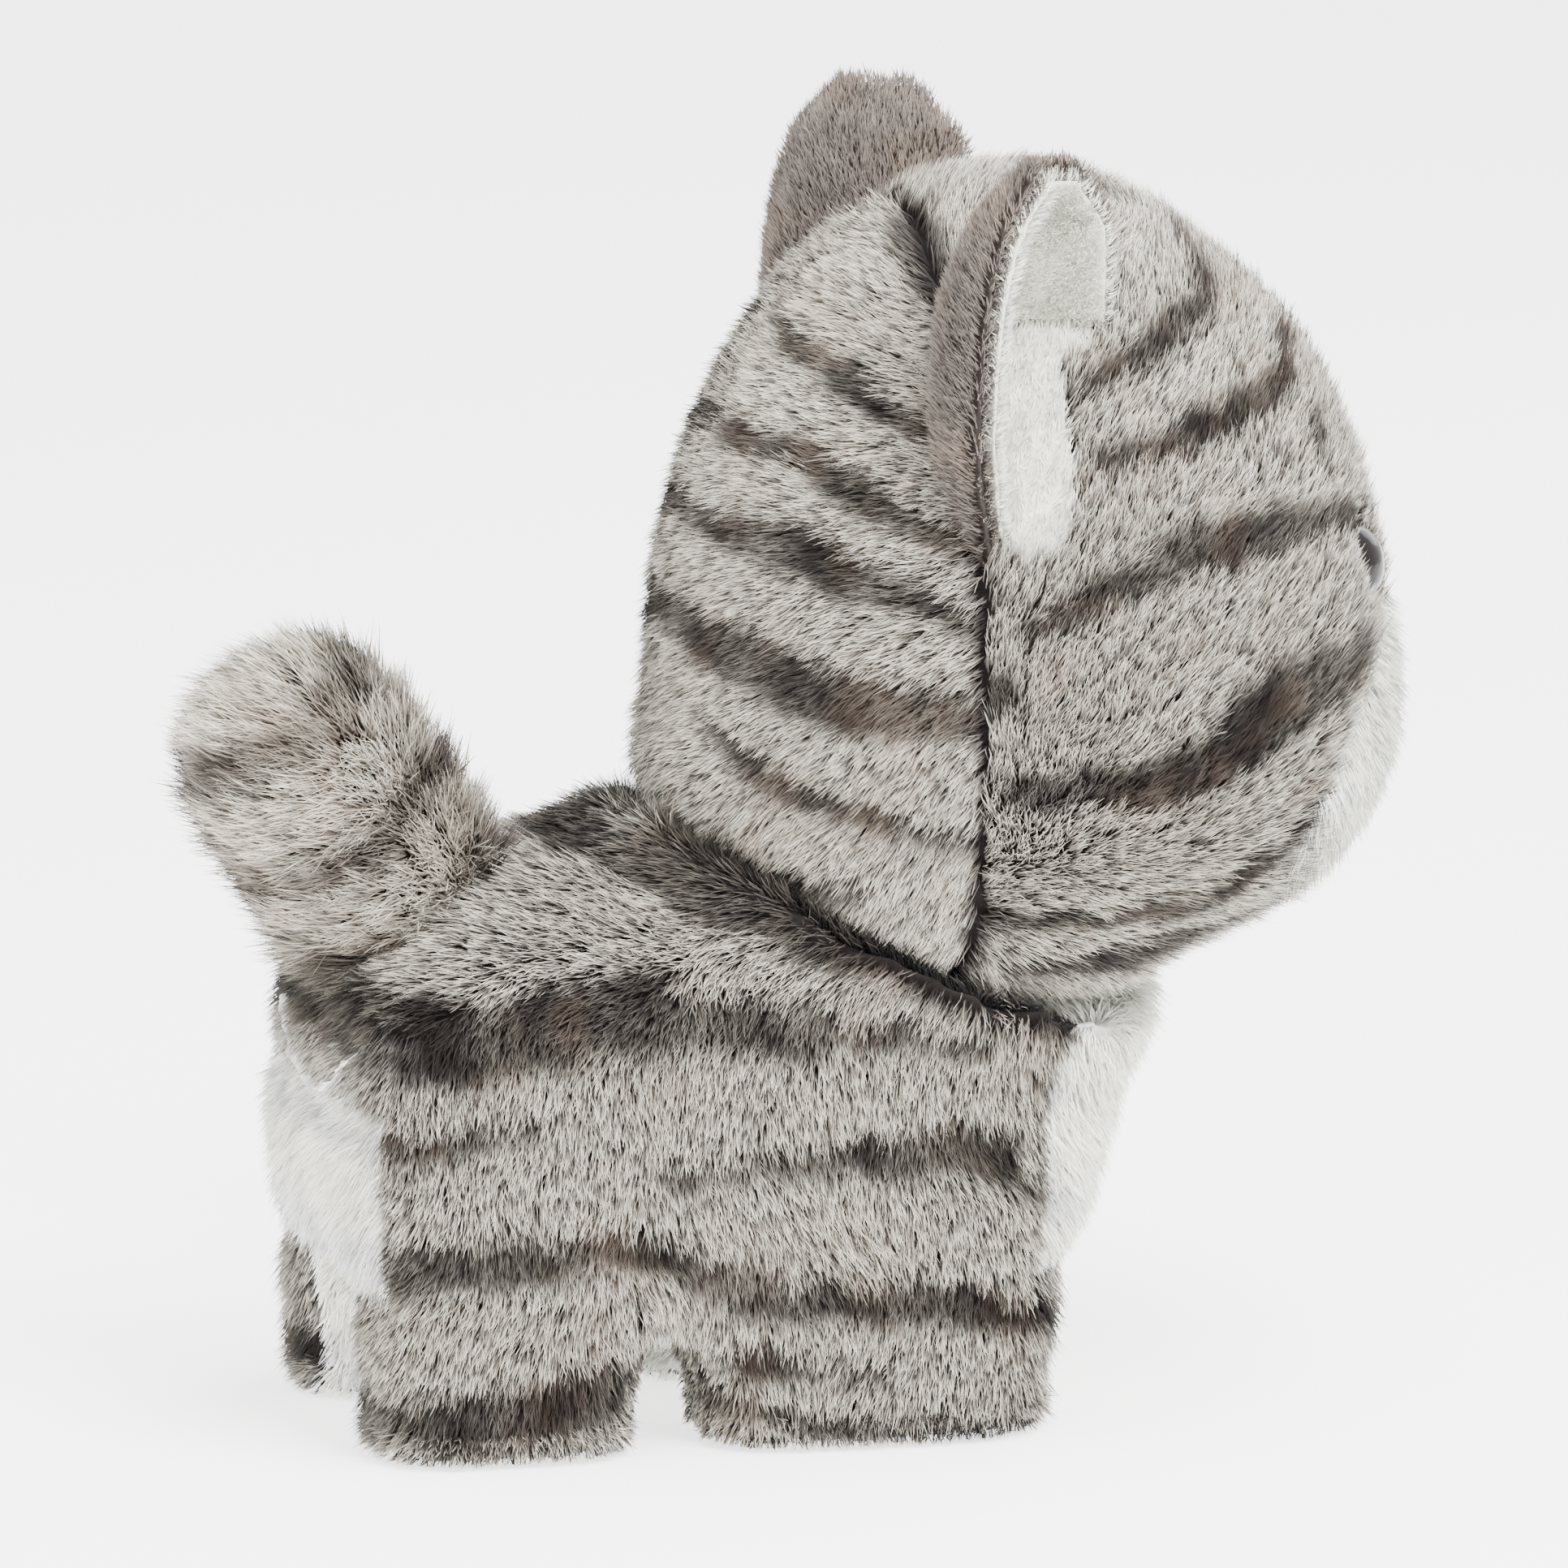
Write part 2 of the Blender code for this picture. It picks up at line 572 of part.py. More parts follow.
# ---------------------------------------------------------------- mouth
mouth_line = bpy.data.curves.new("mouth_stitch", "CURVE")
mouth_line.dimensions = "3D"
mouth_line.bevel_depth = MOUTH_THREAD
mouth_line.bevel_resolution = 1
mouth_line.use_fill_caps = True
mouth_points = []
for step in range(-8, 9):
    across = step / 8
    drop = MOUTH_DROP * abs(math.sin(math.pi * across))
    height = NOSE_Z - NOSE_HEIGHT / 2 - MOUTH_DROP / 2 - drop
    on_face = head_front(across * MOUTH_HALF_WIDTH, height)
    mouth_points.append(on_face - Vector((0, MOUTH_STAND_OFF, 0)))
mouth_spline = mouth_line.splines.new("POLY")
mouth_spline.points.add(len(mouth_points) - 1)
for point, place in zip(mouth_spline.points, mouth_points):
    point.co = (*place, 1.0)
mouth = bpy.data.objects.new("mouth_stitch", mouth_line)
mouth_line.materials.append(THREAD)
parts.objects.link(mouth)

# ---------------------------------------------------------------- ears
EAR_OPEN = Vector((math.sin(EAR_TURN), -math.cos(EAR_TURN), 0))    # the left ear's way of facing
EAR_ACROSS = Vector((math.cos(EAR_TURN), math.sin(EAR_TURN), 0))   # inner rim to outer rim
EAR_COLUMNS = 10
EAR_ROWS = 8
ear_trim = as_cutter(head_form("ear_trim", EAR_CLEARANCE))


def ear_surface(sign, shift):
    """The cupped sheet between an ear's two layers, moved that far towards the opening."""
    bm = bmesh.new()
    bmesh.ops.create_grid(bm, x_segments=EAR_COLUMNS, y_segments=EAR_ROWS, size=1.0)
    foot = Vector((EAR_X, HEAD_Y + EAR_BACK, EAR_FOOT_Z))
    for v in bm.verts:
        across = v.co.x
        up = (v.co.y + 1) / 2
        spread = min(1.0, up / EAR_WIDEST)
        foot_share = EAR_FOOT_SHARE + (1 - EAR_FOOT_SHARE) * math.sin(spread * math.pi / 2)
        taper = foot_share * max(0.0, 1 - (up * EAR_TIP) ** EAR_SQUARE) ** 0.5
        cup = EAR_CUP * (1 - EAR_FLATTENING * up) * (1 - across * across) * taper
        place = foot + EAR_ACROSS * (across * EAR_WIDTH / 2 * taper)
        place -= EAR_OPEN * cup
        place.x += EAR_LEAN * up
        place.z += (EAR_TOP_Z - EAR_FOOT_Z) * up
        v.co = place
    bm.normal_update()
    if sum((f.normal for f in bm.faces), Vector()).dot(EAR_OPEN) < 0:
        bmesh.ops.reverse_faces(bm, faces=bm.faces)
        bm.normal_update()
    normals = {v: v.normal.copy() for v in bm.verts}
    for v, normal in normals.items():
        v.co += normal * shift
    if sign < 0:
        for v in bm.verts:
            v.co.x = -v.co.x
        bmesh.ops.reverse_faces(bm, faces=bm.faces)
    return bm


for side, sign in (("left", 1), ("right", -1)):
    for layer, look, towards in (("back", TAUPE, -1), ("inner", LINING, 1)):
        ear = add_object(f"ear_{layer}_{side}", ear_surface(sign, towards * SEAM_GAP / 2), look)
        wall = ear.modifiers.new("fabric", "SOLIDIFY")
        wall.thickness = SHORT_PILE
        wall.offset = towards
        combine(ear, "DIFFERENCE", ear_trim)

# ---------------------------------------------------------------- tail
TAIL_STEPS = 16
ARC_STEPS = 5


def tail_profile(inset, mouth_radius):
    """A capsule from its tip down, open at the root where the mouth's radius is reached."""
    radius = TAIL_RADIUS - inset
    points = []
    for step in range(ARC_STEPS + 1):
        angle = math.pi / 2 * step / ARC_STEPS
        points.append((radius * math.sin(angle), TAIL_STRAIGHT + radius * math.cos(angle)))
    last = math.acos(min(1.0, mouth_radius / radius))
    for step in range(ARC_STEPS):
        angle = last * step / (ARC_STEPS - 1)
        points.append((radius * math.cos(angle), -radius * math.sin(angle)))
    return points


cover = turned("tail_cover", tail_profile(0.0, TAIL_MOUTH), tail_place, TABBY, parts, TAIL_STEPS)
wall = cover.modifiers.new("fabric", "SOLIDIFY")
wall.thickness = PILE
wall.offset = -1.0
wad = turned(
    "stuffing_tail", tail_profile(PILE + STUFFING_GAP, 0.0), tail_place, STUFFING, parts, TAIL_STEPS
)

# ---------------------------------------------------------------- joints
EAR_FOLD = Vector((0.0550, HEAD_Y + 0.0120, 0.1930))  # the left ear's, at its foot


def hang(joint, place, names):
    """Parents pieces, where they are, to an empty on their joint's axis."""
    pivot = bpy.data.objects.new(joint, None)
    pivot.location = place
    parts.objects.link(pivot)
    for name in names:
        piece = bpy.data.objects[name]
        piece.parent = pivot
        piece.matrix_parent_inverse = Matrix.Translation(-place)


def both(*names):
    return [f"{name}_{side}" for name in names for side in ("left", "right")]


head_pieces = both("head_back", "head_side", "eye", "eye_washer")
head_pieces += ["face_panel", "stuffing_head", "nose", "mouth_stitch"]
hang("head_turn", NECK, ["stuffing_neck"])
hang("head_nod", NECK, head_pieces)
hang("ear_left_fold", EAR_FOLD, ["ear_back_left", "ear_inner_left"])
hang("ear_right_fold", EAR_FOLD * Vector((-1, 1, 1)), ["ear_back_right", "ear_inner_right"])
hang("tail_swing", TAIL_ROOT, ["tail_cover", "stuffing_tail"])
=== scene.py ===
"""A standing plush kitten: sewn pile-fabric covers, printed with tabby stripes, over soft stuffing."""
import json
import math

import bmesh
import bpy
import numpy as np
from mathutils import Matrix, Vector
from mathutils.bvhtree import BVHTree
from mathutils.kdtree import KDTree


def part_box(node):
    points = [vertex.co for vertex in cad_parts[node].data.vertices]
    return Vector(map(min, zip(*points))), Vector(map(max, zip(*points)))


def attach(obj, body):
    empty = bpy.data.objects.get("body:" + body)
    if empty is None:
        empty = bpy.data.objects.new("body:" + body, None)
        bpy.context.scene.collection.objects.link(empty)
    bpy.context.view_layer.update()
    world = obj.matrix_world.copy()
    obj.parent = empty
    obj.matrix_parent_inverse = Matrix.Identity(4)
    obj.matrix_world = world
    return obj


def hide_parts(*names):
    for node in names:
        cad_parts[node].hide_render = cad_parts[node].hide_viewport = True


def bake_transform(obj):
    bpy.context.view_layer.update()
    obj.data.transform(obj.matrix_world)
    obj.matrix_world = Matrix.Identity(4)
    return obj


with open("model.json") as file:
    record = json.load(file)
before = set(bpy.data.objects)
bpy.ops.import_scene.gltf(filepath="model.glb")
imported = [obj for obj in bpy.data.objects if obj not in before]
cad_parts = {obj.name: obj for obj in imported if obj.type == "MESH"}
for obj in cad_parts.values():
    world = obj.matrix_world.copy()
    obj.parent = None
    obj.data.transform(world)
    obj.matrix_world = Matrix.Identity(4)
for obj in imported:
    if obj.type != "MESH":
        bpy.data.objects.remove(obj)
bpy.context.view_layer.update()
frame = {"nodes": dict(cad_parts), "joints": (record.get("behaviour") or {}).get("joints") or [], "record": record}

scene = bpy.context.scene
nodes = frame["nodes"]

# ------------------------------------------------------------------ camera, light and floor
# The kitten stands on a pale studio floor under wide soft lights, seen from behind its right side.
AIM = Vector((0.0, 0.001, 0.120))
AZIMUTH = math.radians(255.5)
ELEVATION = math.radians(10)
CAMERA_DISTANCE = 3.2
FIELD_WIDTH = 0.3006
SENSOR_WIDTH = 36.0
SKY_GLOW = 2.2
FLOOR_GLOW = 2.2           # light from the white floor itself
FLOOR_RADIUS = 4.0

towards_camera = Vector((math.sin(AZIMUTH), -math.cos(AZIMUTH), 0)) * math.cos(ELEVATION)
towards_camera.z = math.sin(ELEVATION)
camera_data = bpy.data.cameras.new("camera")
camera_data.sensor_width = SENSOR_WIDTH
camera_data.lens = SENSOR_WIDTH * CAMERA_DISTANCE / FIELD_WIDTH
camera = bpy.data.objects.new("camera", camera_data)
camera.location = AIM + towards_camera * CAMERA_DISTANCE
camera.rotation_euler = towards_camera.to_track_quat("Z", "Y").to_euler()
scene.collection.objects.link(camera)
scene.camera = camera


def soft_light(name, azimuth, elevation, distance, size, power):
    """A round lamp that faces the kitten, placed by degrees round, degrees up and metres away."""
    lamp_data = bpy.data.lights.new(name, "AREA")
    lamp_data.shape = "DISK"
    lamp_data.size = size
    lamp_data.energy = power
    lamp = bpy.data.objects.new(name, lamp_data)
    a, e = math.radians(azimuth), math.radians(elevation)
    way = Vector((math.sin(a) * math.cos(e), -math.cos(a) * math.cos(e), math.sin(e)))
    lamp.location = AIM + way * distance
    lamp.rotation_euler = way.to_track_quat("Z", "Y").to_euler()
    scene.collection.objects.link(lamp)


soft_light("key", 288, 48, 1.3, 0.7, 36.0)
soft_light("fill", 215, 28, 1.5, 1.2, 9.0)
soft_light("top", 300, 78, 1.4, 0.8, 20.0)
soft_light("front", 40, 30, 1.6, 1.2, 13.0)

world = bpy.data.worlds.new("studio")
world.use_nodes = True
sky = world.node_tree.nodes["Background"].inputs
sky["Color"].default_value = (1.0, 1.0, 1.0, 1.0)
sky["Strength"].default_value = SKY_GLOW
scene.world = world

floor_mesh = bpy.data.meshes.new("floor")
bm = bmesh.new()
bmesh.ops.create_circle(bm, cap_ends=True, segments=96, radius=FLOOR_RADIUS)
bm.to_mesh(floor_mesh)
bm.free()
floor = bpy.data.objects.new("floor", floor_mesh)
scene.collection.objects.link(floor)
floor_look = bpy.data.materials.new("floor")
floor_look.use_nodes = True
floor_paint = floor_look.node_tree.nodes["Principled BSDF"].inputs
floor_paint["Base Color"].default_value = (0.93, 0.93, 0.93, 1)
floor_paint["Roughness"].default_value = 0.9
floor_paint["Emission Color"].default_value = (1, 1, 1, 1)
floor_paint["Emission Strength"].default_value = FLOOR_GLOW
floor_mesh.materials.append(floor_look)

# ------------------------------------------------------------------ pile fabric
# Every cover is knitted pile fabric: fibres with dark roots and pale tips that lie one way.
# The dark stripes are printed on it. It is cut in panels and sewn inside out, so seams sink in.


def add(tree, kind, values=(), **settings):
    """Adds a node, sets its properties, and links or sets its inputs by name or number."""
    made = tree.nodes.new(kind)
    for key, value in settings.items():
        setattr(made, key, value)
    for key, value in dict(values).items():
        if isinstance(value, bpy.types.NodeSocket):
            tree.links.new(value, made.inputs[key])
        else:
            made.inputs[key].default_value = value
    return made


def maths(tree, operation, *values):
    return add(tree, "ShaderNodeMath", enumerate(values), operation=operation).outputs[0]


def vectors(tree, operation, *values):
    return add(tree, "ShaderNodeVectorMath", enumerate(values), operation=operation).outputs[0]


def scaled(tree, vector, factor):
    return add(tree, "ShaderNodeVectorMath", {0: vector, "Scale": factor}, operation="SCALE").outputs[0]


KITE_MIDDLE = 0.42         # where a fibre is widest, from its root


def pile_tree():
    """Grows fibres on a cover: one narrow kite, bent at its middle, for each small tuft of fibres."""
    tree = bpy.data.node_groups.new("grow pile", "GeometryNodeTree")
    socket = tree.interface.new_socket
    socket("Geometry", in_out="INPUT", socket_type="NodeSocketGeometry")
    for name in ("Density", "Length", "Width", "Lift", "Clump Size", "Clump Pull", "Jitter", "Bend"):
        socket(name, in_out="INPUT", socket_type="NodeSocketFloat")
    socket("Seed", in_out="INPUT", socket_type="NodeSocketInt")
    socket("Material", in_out="INPUT", socket_type="NodeSocketMaterial")
    socket("Geometry", in_out="OUTPUT", socket_type="NodeSocketGeometry")
    given = add(tree, "NodeGroupInput").outputs

    def random(low, high, offset, kind="FLOAT"):
        made = add(tree, "FunctionNodeRandomValue", data_type=kind)
        shown = [s for s in made.inputs if s.enabled]
        shown[0].default_value = low
        shown[1].default_value = high
        tree.links.new(maths(tree, "ADD", given["Seed"], offset), made.inputs["Seed"])
        return next(s for s in made.outputs if s.enabled)

    def named(name, kind):
        made = add(tree, "GeometryNodeInputNamedAttribute", {"Name": name}, data_type=kind)
        return next(s for s in made.outputs if s.enabled)

    def stored(geometry, name, value, kind="FLOAT"):
        values = {"Geometry": geometry, "Name": name, "Value": value}
        return add(tree, "GeometryNodeStoreNamedAttribute", values, data_type=kind).outputs[0]

    grid = add(tree, "GeometryNodeMeshGrid", {"Size X": 1, "Size Y": 1, "Vertices X": 2, "Vertices Y": 2})
    kite = maths(tree, "ADD", add(tree, "GeometryNodeInputIndex").outputs[0], 0.5)
    is_tip = maths(tree, "GREATER_THAN", kite, 3.0)
    is_root = maths(tree, "LESS_THAN", kite, 1.0)
    is_side = maths(tree, "SUBTRACT", 1.0, maths(tree, "ADD", is_tip, is_root))
    along = maths(tree, "ADD", is_tip, maths(tree, "MULTIPLY", is_side, KITE_MIDDLE))
    first_side = maths(tree, "COMPARE", kite, 1.5, 0.1)
    other_side = maths(tree, "COMPARE", kite, 2.5, 0.1)
    across = maths(tree, "MULTIPLY", maths(tree, "SUBTRACT", first_side, other_side), 0.5)
    bow = maths(tree, "MULTIPLY", maths(tree, "ADD", first_side, other_side), given["Bend"])
    blade = stored(grid.outputs["Mesh"], "along", along)
    shape = add(tree, "ShaderNodeCombineXYZ", {0: across, 1: bow, 2: along}).outputs[0]
    blade = add(tree, "GeometryNodeSetPosition", {"Geometry": blade, "Position": shape}).outputs[0]

    density = maths(tree, "MULTIPLY", given["Density"], named("thick", "FLOAT"))
    points = add(
        tree,
        "GeometryNodeDistributePointsOnFaces",
        {"Mesh": given["Geometry"], "Density": density, "Seed": given["Seed"]},
    )
    root = add(tree, "GeometryNodeInputPosition").outputs[0]
    cells = add(
        tree,
        "ShaderNodeTexVoronoi",
        {"Vector": root, "Scale": maths(tree, "DIVIDE", 1.0, given["Clump Size"])},
    )
    pull = scaled(tree, vectors(tree, "SUBTRACT", cells.outputs["Position"], root), given["Clump Pull"])
    rise = scaled(tree, points.outputs["Normal"], given["Lift"])
    lean = vectors(tree, "NORMALIZE", vectors(tree, "ADD", named("comb", "FLOAT_VECTOR"), rise))
    stray = scaled(tree, random((-1, -1, -1), (1, 1, 1), 1, "FLOAT_VECTOR"), given["Jitter"])
    length = maths(tree, "MULTIPLY", given["Length"], named("length", "FLOAT"))
    tip = scaled(tree, vectors(tree, "ADD", lean, stray), length)
    tip = vectors(tree, "ADD", tip, pull)
    twist = random((-0.7, -0.7, -0.7), (0.7, 0.7, 0.7), 2, "FLOAT_VECTOR")
    up = vectors(tree, "ADD", points.outputs["Normal"], twist)
    turn = add(
        tree,
        "FunctionNodeAxesToRotation",
        {"Primary Axis": tip, "Secondary Axis": up},
        primary_axis="Z",
        secondary_axis="Y",
    )
    reach = add(tree, "ShaderNodeVectorMath", {0: tip}, operation="LENGTH").outputs["Value"]
    reach = maths(tree, "MULTIPLY", reach, random(0.72, 1.12, 3))
    width = maths(tree, "MULTIPLY", given["Width"], random(0.7, 1.3, 4))
    size = add(tree, "ShaderNodeCombineXYZ", {0: width, 1: reach, 2: reach})
    cell = add(tree, "ShaderNodeSeparateXYZ", {0: cells.outputs["Color"]}).outputs[0]
    marked = points.outputs["Points"]
    for name, value, kind in (
        ("tint", random(0.0, 1.0, 5), "FLOAT"),
        ("root", root, "FLOAT_VECTOR"),
        ("cell", cell, "FLOAT"),
        ("nap", points.outputs["Normal"], "FLOAT_VECTOR"),
    ):
        marked = stored(marked, name, value, kind)
    grown = add(
        tree,
        "GeometryNodeInstanceOnPoints",
        {"Points": marked, "Instance": blade, "Rotation": turn.outputs[0], "Scale": size.outputs[0]},
    )
    grown = add(tree, "GeometryNodeRealizeInstances", {"Geometry": grown.outputs[0]})
    both = add(tree, "GeometryNodeJoinGeometry")
    tree.links.new(grown.outputs[0], both.inputs[0])
    tree.links.new(given["Geometry"], both.inputs[0])
    values = {"Geometry": both.outputs[0], "Material": given["Material"]}
    painted = add(tree, "GeometryNodeSetMaterial", values)
    smooth = add(tree, "GeometryNodeSetShadeSmooth", {"Geometry": painted.outputs[0]})
    add(tree, "NodeGroupOutput", {0: smooth.outputs[0]})
    return tree


GROW_PILE = pile_tree()
BLADE_FACES = 2
PIECE_LIMIT = 192000       # triangles in one piece
FIBRE_BEND = 0.14          # how far the middle of a fibre bows out, as a share of its length
FIBRE_SHARE = 1.0


def grow(skin, look, density, length, width, seed, lift=0.75, clump=0.0030, pull=0.5, jitter=0.22):
    """Turns a bare cover into a plain mesh of cover and fibres: so many a square metre."""
    area = sum(p.area for p in skin.data.polygons)
    most = (PIECE_LIMIT - 2 * len(skin.data.polygons)) / BLADE_FACES
    pile = skin.modifiers.new("pile", "NODES")
    pile.node_group = GROW_PILE
    values = {
        "Density": min(density * FIBRE_SHARE, most / area),
        "Length": length,
        "Width": width,
        "Lift": lift,
        "Clump Size": clump,
        "Clump Pull": pull,
        "Jitter": jitter,
        "Bend": FIBRE_BEND,
        "Seed": seed,
        "Material": look,
    }
    for item in GROW_PILE.interface.items_tree:
        if item.name in values:
            pile[item.identifier] = values[item.name]
    return applied(skin)


def applied(obj):
    """A plain mesh object in place of one with modifiers, under the same name."""
    name = obj.name
    mesh = bpy.data.meshes.new_from_object(obj.evaluated_get(bpy.context.evaluated_depsgraph_get()))
    bpy.data.objects.remove(obj)
    made = bpy.data.objects.new(name, mesh)
    mesh.name = name
    scene.collection.objects.link(made)
    return made


def points_of(mesh):
    co = np.empty(len(mesh.vertices) * 3)
    mesh.vertices.foreach_get("co", co)
    return co.reshape(-1, 3)


def normals_of(mesh):
    normal = np.empty(len(mesh.vertices) * 3)
    mesh.vertices.foreach_get("normal", normal)
    return normal.reshape(-1, 3)


def place_points(mesh, co):
    mesh.vertices.foreach_set("co", np.asarray(co, np.float32).ravel())
    mesh.update()


def ramp(value, low, high):
    t = np.clip((value - low) / (high - low), 0.0, 1.0)
    return t * t * (3 - 2 * t)


def form_of(name, members, voxel, plugs=()):
    """One closed outside form round several pieces of the frame, with balls to plug its openings."""
    bm = bmesh.new()
    for member in members:
        bm.from_mesh(nodes[member].data)
    for centre, radius in plugs:
        bmesh.ops.create_icosphere(bm, subdivisions=3, radius=radius, matrix=Matrix.Translation(centre))
    bmesh.ops.remove_doubles(bm, verts=bm.verts, dist=1e-6)
    mesh = bpy.data.meshes.new(name)
    bm.to_mesh(mesh)
    bm.free()
    form = bpy.data.objects.new(name, mesh)
    scene.collection.objects.link(form)
    remesh = form.modifiers.new("remesh", "REMESH")
    remesh.mode = "VOXEL"
    remesh.voxel_size = voxel
    form = applied(form)
    bm = bmesh.new()
    bm.from_mesh(form.data)
    islands, left = [], set(bm.verts)
    while left:
        grown, edge = set(), [left.pop()]
        while edge:
            v = edge.pop()
            grown.add(v)
            for e in v.link_edges:
                other = e.other_vert(v)
                if other in left:
                    left.discard(other)
                    edge.append(other)
        islands.append(grown)
    islands.sort(key=len)
    bmesh.ops.delete(bm, geom=[v for group in islands[:-1] for v in group], context="VERTS")
    bm.to_mesh(form.data)
    bm.free()
    return form


def seams_of(mesh, panel_of):
    """The vertices on seams, where an edge joins two panels, in a tree to measure from."""
    co = points_of(mesh)
    label = [panel_of(p) for p in co]
    on_seam = {v for e in mesh.edges if label[e.vertices[0]] != label[e.vertices[1]] for v in e.vertices}
    tree = KDTree(len(on_seam))
    for v in sorted(on_seam):
        tree.insert(co[v], v)
    tree.balance()
    return tree


def seam_gap(co, seams):
    """How far each point is from the nearest seam."""
    return np.array([seams.find(p)[2] for p in co])


STUFF_FRAMES = 20
STUFF_PRESSURE = 4.0
SEAM_HELD = 0.004          # stitches hold the cover still within this of a seam


def stuffed(form, seam, most):
    """Cloth simulation: the stuffing presses the cover out between its seams, up to a limit."""
    before = points_of(form.data)
    pins = form.vertex_groups.new(name="seams")
    for v in np.nonzero(seam < SEAM_HELD)[0]:
        pins.add([int(v)], 1.0, "REPLACE")
    cloth = form.modifiers.new("cloth", "CLOTH")
    cloth.settings.vertex_group_mass = "seams"
    cloth.settings.use_pressure = True
    cloth.settings.uniform_pressure_force = STUFF_PRESSURE
    cloth.settings.effector_weights.gravity = 0.0
    cloth.settings.quality = 4
    cloth.point_cache.frame_start = 1
    cloth.point_cache.frame_end = STUFF_FRAMES
    for step in range(1, STUFF_FRAMES + 1):
        scene.frame_set(step)
    form = applied(form)
    form.vertex_groups.clear()
    after = points_of(form.data)
    move = after - before
    size = np.linalg.norm(move, axis=1, keepdims=True)
    move *= np.minimum(1.0, most / np.maximum(size, 1e-9))
    place_points(form.data, before + move)
    scene.frame_set(1)
    return form


def refined(form, smooth_steps):
    smooth = form.modifiers.new("smooth", "SMOOTH")
    smooth.iterations = smooth_steps
    fine = form.modifiers.new("fine", "SUBSURF")
    fine.levels = 1
    fine.render_levels = 1
    return applied(form)


def set_attribute(mesh, name, values, kind="FLOAT"):
    slot = mesh.attributes.new(name, kind, "POINT")
    field = "vector" if kind == "FLOAT_VECTOR" else "value"
    slot.data.foreach_set(field, np.asarray(values, np.float32).ravel())


def panels_from(form, panel_of, names):
    """Splits a form into panels, one object each, by the panel that each face's middle is in."""
    middles = np.array([p.center for p in form.data.polygons])
    label = np.array([panel_of(p) for p in middles])
    made = {}
    for name in names:
        bm = bmesh.new()
        bm.from_mesh(form.data)
        bm.faces.ensure_lookup_table()
        bmesh.ops.delete(bm, geom=[f for f in bm.faces if label[f.index] != name], context="FACES")
        mesh = bpy.data.meshes.new(name + "_pile")
        bm.to_mesh(mesh)
        bm.free()
        made[name] = bpy.data.objects.new(name + "_pile", mesh)
        scene.collection.objects.link(made[name])
    bpy.data.objects.remove(form)
    return made


def tangent(direction, normal):
    """Directions laid flat on the surface and brought to unit length."""
    flat = direction - normal * np.sum(direction * normal, axis=1, keepdims=True)
    return flat / np.maximum(np.linalg.norm(flat, axis=1, keepdims=True), 1e-6)


def stroke_mask(co, strokes, place):
    """How dark each point is under printed strokes: (half width in mm, then points along it)."""
    dark = np.zeros(len(co))
    for half, *line in strokes:
        samples = []
        for (a, b), (c, d) in zip(line, line[1:]):
            for t in np.linspace(0, 1, 9):
                samples.append(place(a + (c - a) * t, b + (d - b) * t))
        samples = np.array(samples)
        share = np.linspace(0, 1, len(samples))
        taper = 0.55 + 0.45 * np.sin(np.pi * np.clip(share, 0.08, 0.92))
        gap = np.linalg.norm((co[:, None, :] - samples[None]), axis=2) / (half * 0.001 * taper)
        dark = np.maximum(dark, 1 - ramp(gap.min(1), 0.95, 1.45))
    return dark


def wavy(co, size, seed, octaves=2):
    """Smooth noise from -1 to 1, made of a few waves in fixed random directions."""
    rng = np.random.default_rng(seed)
    total = np.zeros(len(co))
    for octave in range(octaves):
        for _ in range(6):
            way = rng.normal(size=3)
            way /= np.linalg.norm(way)
            total += np.sin(co @ way * 2 * np.pi * 2**octave / size + rng.uniform(0, 2 * np.pi)) / 2**octave
    return total / 4.0


def attribute(tree, name, output="Fac"):
    return add(tree, "ShaderNodeAttribute", attribute_name=name).outputs[output]


WARM_GROUND = (0.36, 0.28, 0.215)      # the ground and the print in their warmer patches
WARM_PRINT = (0.060, 0.038, 0.027)
CUP_WHITE_WITH_PAINTED_SHADE = (0.92, 0.91, 0.80)         # the white zone of the head inside an ear's cup, a little darker than the lining's own white: painted shade of the cup
